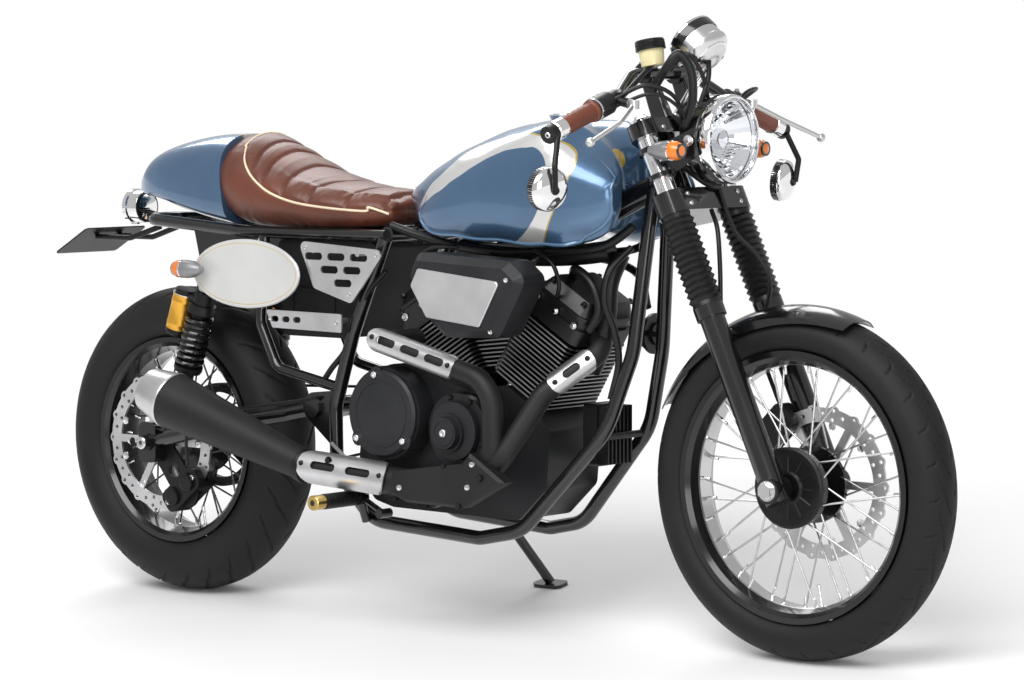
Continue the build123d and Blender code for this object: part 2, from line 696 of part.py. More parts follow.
with BuildPart() as speedometer:
    dial_facing = Vector(-cos(radians(38)), 0, sin(radians(38)))
    dial = by_axle(252, 0, 823)
    with BuildSketch(Plane(dial, x_dir=(0, 1, 0), z_dir=dial_facing)):
        Circle(50)
    extrude(amount=16)
    with BuildSketch(Plane(dial, x_dir=(0, 1, 0), z_dir=-dial_facing)):
        Circle(47)
    extrude(amount=34)
    with BuildSketch(Plane(dial - dial_facing * 34, x_dir=(0, 1, 0), z_dir=-dial_facing)):
        Circle(47)
    extrude(amount=14, taper=40)
    stay_top = dial - dial_facing * 40 + Vector(0, 0, -10)
    add(rod(stay_top, fork_point(UPPER_YOKE + UPPER_YOKE_HEIGHT + 8, 12, 0), 8))
    with BuildSketch(fork_plane(UPPER_YOKE + UPPER_YOKE_HEIGHT, 12, 0)):
        Circle(13)
    extrude(amount=12)
save(speedometer, "speedometer")

# Front fender: a channel round the tyre whose sides run out to a point at both ends, and a
# bridge to each slider
FENDER_GAP = 9
FENDER_WALL = 3
FENDER_HALF = FRONT_TYRE_WIDTH / 2 + 5
FENDER_DROP = 20
FENDER_SKIRT = 16
FENDER_START = 68
FENDER_SWEEP = 88
TIP_CUT = 90
BRIDGE_ALONG = FRONT_RADIUS - 16
BRIDGE_RADIUS = 8


def fender_direction(angle):
    """Unit vector from the front axle, by its angle above straight ahead."""
    return Vector(cos(radians(angle)), 0, sin(radians(angle)))


with BuildPart() as front_fender:
    crown_r = FRONT_RADIUS + FENDER_GAP
    edge_r = crown_r - FENDER_DROP
    skirt_r = edge_r - FENDER_SKIRT
    first = fender_direction(FENDER_START)
    with BuildSketch(Plane(FRONT_AXLE, x_dir=LEFT, z_dir=LEFT.cross(first))):
        with BuildLine():
            inner = FENDER_HALF - FENDER_WALL
            Line((-FENDER_HALF, skirt_r), (-FENDER_HALF, edge_r))
            ThreePointArc((-FENDER_HALF, edge_r), (0, crown_r + FENDER_WALL), (FENDER_HALF, edge_r))
            Line((FENDER_HALF, edge_r), (FENDER_HALF, skirt_r))
            Line((FENDER_HALF, skirt_r), (inner, skirt_r))
            Line((inner, skirt_r), (inner, edge_r))
            ThreePointArc((inner, edge_r), (0, crown_r), (-inner, edge_r))
            Line((-inner, edge_r), (-inner, skirt_r))
            Line((-inner, skirt_r), (-FENDER_HALF, skirt_r))
        make_face()
    revolve(axis=Axis(FRONT_AXLE, LEFT), revolution_arc=-FENDER_SWEEP)
    middle = fender_direction(FENDER_START + FENDER_SWEEP / 2)
    cut_centre = FRONT_AXLE - middle * TIP_CUT - LEFT * (FENDER_HALF + 1)
    with BuildSketch(Plane(cut_centre, z_dir=LEFT)):
        Circle(skirt_r + TIP_CUT)
    extrude(amount=2 * FENDER_HALF + 2, mode=Mode.SUBTRACT)
    for side in (-1, 1):
        bridge_foot = fork_point(BRIDGE_ALONG, 0, side * (FENDER_HALF - 1))
        bridge_head = fork_point(BRIDGE_ALONG, 0, side * (FORK_SPREAD - SLIDER_RADIUS - SEATED))
        add(rod(bridge_foot, bridge_head, BRIDGE_RADIUS))
save(front_fender, "front_fender")


# Main frame: head pipe, backbone, seat rails with rear loop, struts, shock gussets
RAIL_RADIUS = 12.5
POST_TOP = Vector(636, FRAME_Y - 6, 764)
TUNNEL_TOP = 880
TUNNEL_WIDTH = 68
COIL_BOX_FOOT = 728
COIL_BOX_HEIGHT = 31
PIVOT = Vector(454, 0, 420)
PIVOT_RADIUS = 10
SHOCK_TOP = Vector(163, SWINGARM_Y + 1, 654)
SHOCK_FOOT = Vector(96, SWINGARM_Y + 1, 449)

with BuildPart() as main_frame:
    with BuildSketch(fork_plane(HEAD_PIPE_FOOT, -FORK_OFFSET)):
        Circle(30)
    extrude(amount=HEAD_PIPE_TOP - HEAD_PIPE_FOOT)
    head_mid = fork_point((HEAD_PIPE_FOOT + HEAD_PIPE_TOP) / 2, -FORK_OFFSET)
    spine = [head_mid - Vector(12, 0, 14), (1120, 0, 828), (820, 0, 806), (POST_TOP.X, 0, 772)]
    add(tube(spine, 90, 24))
    add(rod((POST_TOP.X, -RAIL_Y, 772), (POST_TOP.X, RAIL_Y, 772), 16))
    with BuildSketch(Plane.XY.offset(810)):
        with Locations((820, 0), (1060, 0)):
            Rectangle(40, 24)
    extrude(amount=TUNNEL_TOP - 3 - 810)
    with BuildSketch(Plane.XY.offset(COIL_BOX_FOOT)):
        with Locations((930, 0)):
            RectangleRounded(210, 116, 16)
    extrude(amount=COIL_BOX_HEIGHT)
    with BuildSketch(Plane.XY.offset(COIL_BOX_FOOT + COIL_BOX_HEIGHT)):
        with Locations((860, 0), (1000, 0)):
            Rectangle(30, 30)
    extrude(amount=42)
    for side in (-1, 1):
        rail = [
            (POST_TOP.X, side * RAIL_Y, 770), (250, side * RAIL_Y, 768),
            (-20, side * (RAIL_Y - 12), 786), (-70, side * 40, 786), (-72, 0, 786),
        ]
        add(tube(rail, 30, RAIL_RADIUS))
        strut = [
            (306, side * RAIL_Y, 768), (306, side * (FRAME_Y + 4), 585),
            (352, side * (FRAME_Y + 4), 494), (510, side * (FRAME_Y - 4), 462),
        ]
        add(tube(strut, 40, 11))
        gusset = Plane((0, side * GUSSET_Y, 0), x_dir=(1, 0, 0), z_dir=(0, -1, 0))
        with BuildSketch(gusset):
            with BuildLine():
                Polyline(
                    (SHOCK_TOP.X - 24, SHOCK_TOP.Z - 18), (SHOCK_TOP.X + 22, SHOCK_TOP.Z - 18),
                    (SHOCK_TOP.X + 130, 770), (SHOCK_TOP.X - 60, 776), close=True,
                )
            make_face()
        extrude(amount=4, both=True)
        stud = Vector(SHOCK_TOP.X, side * GUSSET_Y, SHOCK_TOP.Z)
        add(rod(stud, stud + LEFT * side * (SHOCK_TOP.Y - 12 - GUSSET_Y - SEATED), 7))
    with BuildSketch(fork_plane(HEAD_PIPE_FOOT - 1, -FORK_OFFSET)):
        Circle(STEM_RADIUS + RUNNING)
    extrude(amount=HEAD_PIPE_TOP - HEAD_PIPE_FOOT + 2, mode=Mode.SUBTRACT)
save(main_frame, "main_frame")

# Pivot of the side stand on the left cradle
STAND_AXIS = Vector(0.2, 0.73, 0.65).normalized()
STAND_ROOT = Vector(700, 115, 197)
STAND_PIVOT = STAND_ROOT + STAND_AXIS * 38
STAND_PIN_RADIUS = 7
STAND_LUG = 16
FOOT_Y = 262
FOOT_X = 760

# Cradles: down tube, bottom rail and seat post of each side in one bent tube
CRADLE = [
    (WHEELBASE - 333, 20, 872), (WHEELBASE - 340, 30, 790), (WHEELBASE - 363, 46, 560),
    (1160, 70, 408), (975, 97, 206), (880, 110, 186), (610, FRAME_Y + 4, 202),
    (512, FRAME_Y + 2, 300), (508, FRAME_Y, 425), (552, FRAME_Y - 3, 570),
    (POST_TOP.X, POST_TOP.Y, POST_TOP.Z),
]
CRADLE_BENDS = [200, 200, 150, 90, 60, 90, 60, 60, 150]
for side, name in SIDES:
    with BuildPart() as cradle:
        add(tube(mirrored(CRADLE, side), CRADLE_BENDS, TUBE_RADIUS))
        plate = Plane((0, side * FRAME_Y, 0), x_dir=(1, 0, 0), z_dir=(0, -1, 0))
        with BuildSketch(plate):
            with Locations((PIVOT.X, PIVOT.Z)):
                Circle(30)
            with Locations((510, 400)):
                Rectangle(20, 110)
            make_hull()
            with Locations((PIVOT.X, PIVOT.Z)):
                Circle(PIVOT_RADIUS + FIT, mode=Mode.SUBTRACT)
        extrude(amount=5, both=True)
        add(main_frame.part, mode=Mode.SUBTRACT)
        if side > 0:
            add(rod(STAND_ROOT, STAND_PIVOT - STAND_AXIS * (STAND_LUG / 2 + SEATED), 13))
            add(rod(STAND_ROOT, STAND_PIVOT + STAND_AXIS * 12, STAND_PIN_RADIUS))
    save(cradle, f"frame_cradle_{name}")

# Swingarm on its pivot shaft
ARM = [
    (PIVOT.X, FRAME_Y - 30, PIVOT.Z), (360, FRAME_Y - 24, 399), (250, SWINGARM_Y, 378),
    (20, SWINGARM_Y, REAR_AXLE_Z + 6),
]
PIVOT_HALF = FRAME_Y - 6
PIVOT_END = FRAME_Y + 12
with BuildPart() as swingarm:
    with BuildSketch(Plane((PIVOT.X, -PIVOT_HALF, PIVOT.Z), z_dir=LEFT)):
        Circle(18)
    extrude(amount=2 * PIVOT_HALF)
    with BuildSketch(Plane((PIVOT.X, -PIVOT_END, PIVOT.Z), z_dir=LEFT)):
        Circle(PIVOT_RADIUS)
    extrude(amount=2 * PIVOT_END)
    for side in (-1, 1):
        cap_start = Vector(PIVOT.X, side * (FRAME_Y + 5 + SEATED), PIVOT.Z)
        with BuildSketch(Plane(cap_start, z_dir=LEFT * side)):
            Circle(20)
        extrude(amount=9)
        add(tube(mirrored(ARM, side), 60, 16))
        end = Plane(REAR_AXLE + LEFT * side * (SWINGARM_Y - 15), z_dir=LEFT * side)
        with BuildSketch(end):
            RectangleRounded(84, 48, 12)
        extrude(amount=30)
        lug = Plane((0, side * SWINGARM_Y, 0), x_dir=(1, 0, 0), z_dir=(0, -1, 0))
        with BuildSketch(lug):
            with BuildLine():
                Polyline(
                    (60, REAR_AXLE_Z), (170, REAR_AXLE_Z + 40), (SHOCK_FOOT.X + 16, SHOCK_FOOT.Z - 26),
                    (SHOCK_FOOT.X - 16, SHOCK_FOOT.Z - 26), close=True,
                )
            make_face()
        extrude(amount=8, both=True)
    add(rod((362, 24 - FRAME_Y, 399), (362, FRAME_Y - 24, 399), 13))
    with BuildSketch(Plane(REAR_AXLE - LEFT * (REAR_AXLE_END + 2), z_dir=LEFT)):
        Circle(AXLE_RADIUS + FIT)
    extrude(amount=2 * REAR_AXLE_END + 4, mode=Mode.SUBTRACT)
save(swingarm, "swingarm")

# Shocks: eye, head, coil spring round a damper, foot eye, reservoir behind
RESERVOIR_RADIUS = 24
SPRING_TURNS = 7
for side, name in SIDES:
    with BuildPart() as shock:
        top = Vector(SHOCK_TOP.X, side * SHOCK_TOP.Y, SHOCK_TOP.Z)
        foot = Vector(SHOCK_FOOT.X, side * SHOCK_FOOT.Y, SHOCK_FOOT.Z)
        down = (foot - top).normalized()
        back = Vector(down.Z, 0, -down.X)
        for eye in (top, foot):
            with BuildSketch(Plane(eye - LEFT * 12, z_dir=LEFT)):
                Circle(17)
            extrude(amount=24)
        add(rod(top, foot, 9))
        add(rod(top + down * 14, top + down * 60, 22))
        add(rod(top + down * 60, foot - down * 40, 17))
        for turn in range(SPRING_TURNS):
            ring = top + down * (72 + turn * 15)
            add(rod(ring, ring + down * 8, 27))
        add(rod(foot - down * 40, foot - down * 28, 28))
        add(rod(foot - down * 28, foot - down * 10, 16))
        tank_top = top + down * 26 + back * 54
        add(rod(tank_top, tank_top + down * 10, RESERVOIR_RADIUS - 3))
        add(rod(tank_top + down * 10, tank_top + down * 94, RESERVOIR_RADIUS))
        add(rod(tank_top + down * 94, tank_top + down * 100, RESERVOIR_RADIUS - 4))
        add(rod(top + down * 44, tank_top + down * 12, 12))
    save(shock, f"shock_{name}")

# Side box between the seat posts, under the rails
BOX_TOP = 755
with BuildPart() as side_box:
    with BuildSketch(Plane.XZ.offset(-BOX_Y)):
        with BuildLine():
            Polyline((336, BOX_TOP), (606, BOX_TOP), (552, 610), (520, 560), (350, 560), close=True)
        make_face()
        fillet(vertices(), 14)
    extrude(amount=2 * BOX_Y)
    for face in (faces().sort_by(Axis.Y)[0], faces().sort_by(Axis.Y)[-1]):
        with BuildSketch(Plane((436, face.center().Y, 618), x_dir=(1, 0, 0), z_dir=face.normal_at())):
            RectangleRounded(118, 88, 14)
            RectangleRounded(108, 78, 10, mode=Mode.SUBTRACT)
        extrude(amount=-2, mode=Mode.SUBTRACT)
save(side_box, "side_box")

# Engine: crankcase and gearbox, one heavy casting
CRANK = Vector(880, 0, 356)
V_HALF_ANGLE = 31
CASE_LEFT = 70
CASE_RIGHT = 90
FIN_COUNT = 16
FIN_PITCH = 9
FIN_THICKNESS = 3
BARREL_FOOT = 138
HEAD_FOOT = BARREL_FOOT + FIN_COUNT * FIN_PITCH + 8


def cylinder_plane(lean, along):
    """Section plane of a cylinder that leans forward by an angle, at a height from the crank."""
    rise = Vector(sin(radians(lean)), 0, cos(radians(lean)))
    return Plane(CRANK + rise * along, x_dir=(cos(radians(lean)), 0, -sin(radians(lean))), z_dir=rise)


with BuildPart() as crankcase:
    with BuildSketch(Plane.XZ.offset(-CASE_LEFT)):
        with BuildLine():
            Polyline(
                (590, 240), (640, 228), (960, 224), (1030, 290), (1040, 400), (960, 490),
                (800, 470), (640, 490), (560, 450), (548, 300), close=True,
            )
        make_face()
        fillet(vertices(), 22)
    extrude(amount=CASE_LEFT + CASE_RIGHT)
    for lean in (V_HALF_ANGLE, -V_HALF_ANGLE):
        with BuildSketch(cylinder_plane(lean, BARREL_FOOT - FIT)):
            Rectangle(170, 400)
        extrude(amount=90, mode=Mode.SUBTRACT)
    with BuildSketch(Plane(GEARBOX_SHAFT + LEFT * (CASE_LEFT - 4), z_dir=LEFT)):
        Circle(16)
    extrude(amount=BELT_Y - BELT_WIDTH / 2 - CASE_LEFT + 4)
    with BuildSketch(Plane(GEARBOX_SHAFT + LEFT * (BELT_Y - BELT_WIDTH / 2), z_dir=LEFT)):
        Circle(FRONT_PULLEY_RADIUS)
    extrude(amount=BELT_WIDTH)
save(crankcase, "crankcase")

# Cylinders: barrel, cooling fins, head and a rocker cover with sloping sides


def engine_cylinder(lean):
    """Barrel with plate fins, head and rocker cover, leaned from upright."""
    with BuildPart() as cylinder:
        with BuildSketch(cylinder_plane(lean, BARREL_FOOT)):
            RectangleRounded(118, 150, 40)
        extrude(amount=FIN_COUNT * FIN_PITCH + 12)
        for fin in range(FIN_COUNT):
            with BuildSketch(cylinder_plane(lean, BARREL_FOOT + 8 + fin * FIN_PITCH)):
                RectangleRounded(150, 2 * CASE_RIGHT - 4, 18)
            extrude(amount=FIN_THICKNESS)
        with BuildSketch(cylinder_plane(lean, HEAD_FOOT)):
            RectangleRounded(150, 2 * CASE_RIGHT - 8, 20)
        extrude(amount=32)
        with BuildSketch(cylinder_plane(lean, HEAD_FOOT + 32)):
            RectangleRounded(138, 2 * CASE_RIGHT - 18, 22)
        extrude(amount=20)
        with BuildSketch(cylinder_plane(lean, HEAD_FOOT + 52)):
            RectangleRounded(144, 2 * CASE_RIGHT - 12, 24)
        extrude(amount=6)
        with BuildSketch(cylinder_plane(lean, HEAD_FOOT + 58)):
            RectangleRounded(136, 2 * CASE_RIGHT - 20, 24)
        extrude(amount=26, taper=30)
    return cylinder


front_engine = engine_cylinder(V_HALF_ANGLE)
front_cylinder = front_engine.part
save(front_engine, "front_cylinder")
rear_engine = engine_cylinder(-V_HALF_ANGLE)
rear_cylinder = rear_engine.part
save(rear_engine, "rear_cylinder")

# Right engine covers: round clutch cover and the smaller generator cover ahead of it
CLUTCH = (700, 425)
CLUTCH_RADIUS = 92
GENERATOR = (868, 400)
GENERATOR_RADIUS = 74
GENERATOR_CAP = (858, 396)
GENERATOR_CAP_RADIUS = 32
COVER_DEPTH = 52
with BuildPart() as right_engine_cover:
    base = side_plane(-CASE_RIGHT - SEATED)
    with BuildSketch(base):
        with Locations(CLUTCH):
            Circle(CLUTCH_RADIUS + 4)
        with Locations(GENERATOR):
            Circle(GENERATOR_RADIUS + 4)
        with Locations((772, 300)):
            Circle(60)
        make_hull()
    extrude(amount=COVER_DEPTH)
    for place, depth, radius, amount, slope in (
        (CLUTCH, COVER_DEPTH, CLUTCH_RADIUS, 44, 2),
        (CLUTCH, COVER_DEPTH + 44, CLUTCH_RADIUS - 9, 7, 0),
        (CLUTCH, COVER_DEPTH + 51, CLUTCH_RADIUS - 6, 5, 45),
        (GENERATOR, COVER_DEPTH, GENERATOR_RADIUS, 22, 3),
        (GENERATOR, COVER_DEPTH + 22, GENERATOR_RADIUS - 16, 14, 6),
        (GENERATOR_CAP, COVER_DEPTH + 36, GENERATOR_CAP_RADIUS + 6, 5, 0),
        (GENERATOR_CAP, COVER_DEPTH + 41, GENERATOR_CAP_RADIUS, 12, 8),
    ):
        with BuildSketch(base.offset(depth)):
            with Locations(place):
                Circle(radius)
        extrude(amount=amount, taper=slope)
    for turn in (100, 220, 320):
        ear = Vector(
            CLUTCH[0] + (CLUTCH_RADIUS - 14) * cos(radians(turn)),
            CLUTCH[1] + (CLUTCH_RADIUS - 14) * sin(radians(turn)),
        )
        with BuildSketch(base.offset(COVER_DEPTH)):
            with Locations(ear):
                Circle(16)
        extrude(amount=54)
save(right_engine_cover, "right_engine_cover")

# Left engine cover: generator and front pulley guard
with BuildPart() as left_engine_cover:
    with BuildSketch(Plane((0, CASE_LEFT + SEATED, 0), x_dir=(1, 0, 0), z_dir=(0, -1, 0))):
        with Locations((880, 360)):
            Circle(96)
        with Locations((745, 345)):
            Circle(66)
        make_hull()
    extrude(amount=-40)
    for x, z, radius, depth in ((880, 360, 84, 12), (880, 360, 40, 20), (745, 345, 50, 8)):
        face = Plane((0, CASE_LEFT + SEATED + 40, 0), x_dir=(1, 0, 0), z_dir=(0, -1, 0))
        with BuildSketch(face):
            with Locations((x, z)):
                Circle(radius)
        extrude(amount=-depth)
save(left_engine_cover, "left_engine_cover")

# Air cleaner on the right of the V: a bevelled six-sided box, its duct and the two inlet stubs
AIR_FACE = -226
AIR_BACK = -148
AIR_BEVEL = 15
DUCT = Vector(880, 0, 664)
with BuildPart() as air_cleaner:
    with BuildSketch(side_plane(AIR_BACK)):
        with BuildLine():
            Polyline(
                (788, 700), (808, 746), (1034, 736), (1078, 702), (1012, 588), (880, 584),
                (834, 620), close=True,
            )
        make_face()
        fillet(vertices(), 20)
    extrude(amount=AIR_BACK - AIR_FACE)
    chamfer(faces().sort_by(Axis.Y)[0].edges(), AIR_BEVEL)
    with BuildSketch(side_plane(AIR_BACK + 20)):
        with BuildLine():
            Polyline((820, 690), (830, 722), (1010, 714), (980, 610), (880, 606), close=True)
        make_face()
        fillet(vertices(), 12)
    extrude(amount=20)
    add(rod(DUCT + LEFT * (AIR_BACK - 2), DUCT + LEFT * 30, 34))
    add(rod(DUCT - Vector(100, 0, 0), DUCT + Vector(100, 0, 0), 19))
    add(front_cylinder, mode=Mode.SUBTRACT)
    add(rear_cylinder, mode=Mode.SUBTRACT)
save(air_cleaner, "air_cleaner")

with BuildPart() as air_cleaner_plate:
    with BuildSketch(side_plane(AIR_FACE - SEATED)):
        with BuildLine():
            Polyline((822, 716), (1026, 696), (976, 608), (844, 622), (804, 682), close=True)
        make_face()
        fillet(vertices(), 7)
    extrude(amount=4)
    chamfer(faces().sort_by(Axis.Y)[0].edges(), 1.5)
save(air_cleaner_plate, "air_cleaner_plate")

# Exhaust: one pipe from each cylinder into a collector on the right, under a folded cover
PIPE_RADIUS = 21
COLLECTOR_RADIUS = 28
EXHAUST_Y = -190
COLLECTOR_START = Vector(950, EXHAUST_Y, 306)
COLLECTOR_END = Vector(860, -196, 288)
MUFFLER_FRONT = Vector(520, -217, 312)
MUFFLER_REAR = Vector(104, -232, 444)
FRONT_PIPE = [
    Vector(1070, -24, 590), Vector(1146, -36, 574), Vector(1056, -130, 480),
    Vector(1002, EXHAUST_Y, 356), Vector(930, EXHAUST_Y, 300),
]
REAR_PIPE = [
    Vector(700, -70, 567), Vector(700, -190, 567), Vector(980, -194, 500),
    Vector(982, -194, 366), Vector(925, EXHAUST_Y, 300),
]
COVER_Y = -198
COVER_REACH = 32
REAR_RUN = REAR_PIPE[2] - REAR_PIPE[1]
FRONT_RUN = FRONT_PIPE[2] - FRONT_PIPE[1]
NECK_RUN = MUFFLER_FRONT - COLLECTOR_END
with BuildPart() as collector_cover:
    with BuildSketch(side_plane(COVER_Y)):
        with BuildLine():
            Polyline(
                (752, 273), (752, 318), (930, 344), (950, 366), (1036, 314), (932, 258),
                (792, 260), close=True,
            )
        make_face()
        fillet(vertices().sort_by(Axis.X)[:2], 8)
    extrude(amount=COVER_REACH)
    chamfer(faces().sort_by(Axis.Y)[0].edges(), 6)

with BuildPart() as exhaust_pipes:
    add(tube(FRONT_PIPE, [30, 60, 50], PIPE_RADIUS))
    add(tube(REAR_PIPE, [26, 70, 46], PIPE_RADIUS))
    add(tube([COLLECTOR_START, COLLECTOR_END, MUFFLER_FRONT], 60, COLLECTOR_RADIUS))
    add(collector_cover.part)
    add(front_cylinder, mode=Mode.SUBTRACT)
    add(rear_cylinder, mode=Mode.SUBTRACT)
save(exhaust_pipes, "exhaust_pipes")

# Muffler: a megaphone that widens to the rear and closes in a short tapered end
MUFFLER_NECK = 31
MUFFLER_BELLY = 58
MUFFLER_MOUTH = 45
MOUTH_LENGTH = 62
with BuildPart() as muffler:
    aim = (MUFFLER_REAR - MUFFLER_FRONT).normalized()
    body = (MUFFLER_REAR - MUFFLER_FRONT).length
    belly = body - MOUTH_LENGTH
    with BuildSketch(Plane(MUFFLER_FRONT, x_dir=aim, z_dir=aim.cross(Vector(0, 0, 1)))):
        with BuildLine():
            Polyline(
                (-5, 0), (-5, MUFFLER_NECK), (10, MUFFLER_NECK), (belly, MUFFLER_BELLY),
                (belly + 2, MUFFLER_BELLY - 2), (body, MUFFLER_MOUTH), (body, MUFFLER_MOUTH - 4),
                (body - 26, MUFFLER_MOUTH - 6), (body - 44, 24), (body - 44, 0), close=True,
            )
        make_face()
    revolve(axis=Axis(MUFFLER_FRONT, aim))
    add(exhaust_pipes.part, mode=Mode.SUBTRACT)
save(muffler, "muffler")

# Bright slotted guards with rounded ends, bent round the outside of the pipes
GUARD_HALF_ANGLE = 80
GUARD_THICKNESS = 3
GUARD_SLOT = 16


def pipe_guard(start, end, pipe_radius, toward, slots):
    """Half sleeve with slots between two points of a straight pipe, facing one way."""
    run = end - start
    along = run.normalized()
    outward = toward - along * toward.dot(along)
    inner = pipe_radius + SEATED
    outer = inner + GUARD_THICKNESS
    with BuildPart() as guard:
        with BuildSketch(Plane(start, x_dir=outward, z_dir=run)):
            with BuildLine():
                CenterArc((0, 0), inner, -GUARD_HALF_ANGLE, 2 * GUARD_HALF_ANGLE)
                CenterArc((0, 0), outer, -GUARD_HALF_ANGLE, 2 * GUARD_HALF_ANGLE)
                for angle in (-GUARD_HALF_ANGLE, GUARD_HALF_ANGLE):
                    corner = (inner * cos(radians(angle)), inner * sin(radians(angle)))
                    PolarLine(corner, GUARD_THICKNESS, angle)
            make_face()
        extrude(amount=run.length)
        with BuildSketch(Plane(start + run / 2, x_dir=run, z_dir=outward)):
            RectangleRounded(run.length, 2 * outer + 1, outer - 4)
        extrude(amount=outer + 10, mode=Mode.INTERSECT)
        with BuildSketch(Plane(start + run / 2, x_dir=run, z_dir=outward)):
            with GridLocations(run.length / (slots + 0.5), 0, slots, 1):
                SlotOverall(run.length / (slots + 1.6), GUARD_SLOT)
        extrude(amount=pipe_radius + 20, mode=Mode.SUBTRACT)
    return guard.part


GUARDS = (
    # pipe run's start, run, from, to, pipe radius, way it faces, slots
    (REAR_PIPE[1], REAR_RUN, -0.08, 0.7, PIPE_RADIUS, Vector(0, -1, 0.35), 3),
    (FRONT_PIPE[1], FRONT_RUN, 0.27, 0.9, PIPE_RADIUS, Vector(0.6, -1, 0.3), 1),
    (COLLECTOR_END, NECK_RUN, 0.36, 1.0, MUFFLER_NECK, Vector(0, -1, 0.35), 2),
)
with BuildPart() as exhaust_guards:
    for foot, run, near, far, pipe_radius, toward, slots in GUARDS:
        add(pipe_guard(foot + run * near, foot + run * far, pipe_radius, toward, slots))
save(exhaust_guards, "exhaust_guards")

# Fuel tank: lofted sections of one flat, two side arcs and a top arc
TANK_SECTIONS = (
    # station, bottom, top, half width
    (652, 802, 858, 84),
    (740, 784, 918, 118),
    (860, 771, 975, 142),
    (1000, 766, 1002, 157),
    (1110, 770, 994, 159),
    (1176, 786, 958, 150),
    (1216, 816, 916, 134),
)
LIP = 6
LIP_THICKNESS = 5


def tank_section(bottom, top, half):
    """Rounded cross-section, seen along X, that a loft can join to its neighbours."""
    height = top - bottom
    foot = (half * 0.72, bottom)
    bulge = (half, bottom + height * 0.36)
    shoulder = (half * 0.66, bottom + height * 0.84)
    with BuildLine() as edge:
        Line((-foot[0], foot[1]), foot)
        ThreePointArc(foot, bulge, shoulder)
        ThreePointArc(shoulder, (0, top), (-shoulder[0], shoulder[1]))
        ThreePointArc((-shoulder[0], shoulder[1]), (-bulge[0], bulge[1]), (-foot[0], foot[1]))
    return edge.line


CAP_X = 1010
CAP_RADIUS = 32
CAP_TOP = 1008
CAP_WELL = 26
NOTCH_REAR = 1148
NOTCH_HALF = 60
with BuildPart() as fuel_tank:
    for station, bottom, top, half in TANK_SECTIONS:
        with BuildSketch(Plane((station, 0, 0), x_dir=(0, 1, 0), z_dir=(1, 0, 0))):
            add(tank_section(bottom, top, half))
            make_face()
    loft()
    for station, bottom, top, half in TANK_SECTIONS:
        with BuildSketch(Plane((station, 0, 0), x_dir=(0, 1, 0), z_dir=(1, 0, 0))):
            with Locations((0, bottom)):
                RectangleRounded(2 * (half * 0.72 + LIP), LIP_THICKNESS, LIP_THICKNESS * 0.4)
    loft()
    with BuildSketch(Plane((640, 0, 0), x_dir=(0, 1, 0), z_dir=(1, 0, 0))):
        with Locations((0, TUNNEL_TOP - 90)):
            SlotOverall(180, TUNNEL_WIDTH, rotation=90)
    extrude(amount=600, mode=Mode.SUBTRACT)
    with BuildSketch(Plane.XY.offset(740)):
        with Locations((NOTCH_REAR + 80, 0)):
            RectangleRounded(160, 2 * NOTCH_HALF, 30)
    extrude(amount=300, mode=Mode.SUBTRACT)
    with BuildSketch(Plane.XY.offset(CAP_TOP - CAP_WELL)):
        with Locations((CAP_X, 0)):
            Circle(CAP_RADIUS + SEATED)
    extrude(amount=60, mode=Mode.SUBTRACT)
save(fuel_tank, "fuel_tank")

with BuildPart() as fuel_cap:
    with BuildSketch(Plane.XY.offset(CAP_TOP - CAP_WELL + SEATED)):
        with Locations((CAP_X, 0)):
            Circle(CAP_RADIUS)
    extrude(amount=CAP_WELL)
    with BuildSketch(Plane.XY.offset(CAP_TOP + SEATED)):
        with Locations((CAP_X, 0)):
            Circle(CAP_RADIUS - 2)
    extrude(amount=5, taper=30)
save(fuel_cap, "fuel_cap")

# Seat: lofted pad with a hump at the rear
SEAT_SECTIONS = (
    # station, bottom, top, half width
    (178, 812, 966, 118),
    (260, 790, 950, 140),
    (350, 786, 902, 146),
    (450, 786, 868, 138),
    (560, 790, 852, 112),
    (640, 798, 848, 86),
)
with BuildPart() as seat:
    for station, bottom, top, half in SEAT_SECTIONS:
        with BuildSketch(Plane((station, 0, 0), x_dir=(0, 1, 0), z_dir=(1, 0, 0))):
            add(tank_section(bottom, top, half))
            make_face()
    loft()
save(seat, "seat")

# Tail cowl behind the seat
COWL_SECTIONS = (
    # station, bottom, top, half width
    (-122, 822, 862, 62),
    (-80, 826, 902, 86),
    (-10, 820, 936, 104),
    (90, 806, 960, 116),
    (SEAT_SECTIONS[0][0] - SEATED, 808, 964, 120),
)
with BuildPart() as tail_cowl:
    for station, bottom, top, half in COWL_SECTIONS:
        with BuildSketch(Plane((station, 0, 0), x_dir=(0, 1, 0), z_dir=(1, 0, 0))):
            add(tank_section(bottom, top, half))
            make_face()
    loft()
save(tail_cowl, "tail_cowl")

# Tail light on the end of the frame's loop: a round can with a rim and a domed lens
TAIL_LAMP = Vector(-132, 0, 808)
TAIL_LAMP_RADIUS = 37
with BuildPart() as tail_light:
    with BuildSketch(Plane(TAIL_LAMP, x_dir=(-1, 0, 0), z_dir=(0, -1, 0))):
        with BuildLine():
            rim = TAIL_LAMP_RADIUS
            Polyline(
                (-6, 0), (-6, rim * 0.5), (0, rim - 4), (30, rim - 4), (30, rim), (38, rim),
                (38, rim - 5),
            )
            ThreePointArc((38, rim - 5), dome_middle(38, rim - 5, 46), (46, 0))
            Line((46, 0), (-6, 0))
        make_face()
    revolve(axis=Axis(TAIL_LAMP, (-1, 0, 0)))
    add(rod(TAIL_LAMP + Vector(2, 0, -12), (-85, 0, 787), 7))
save(tail_light, "tail_light")

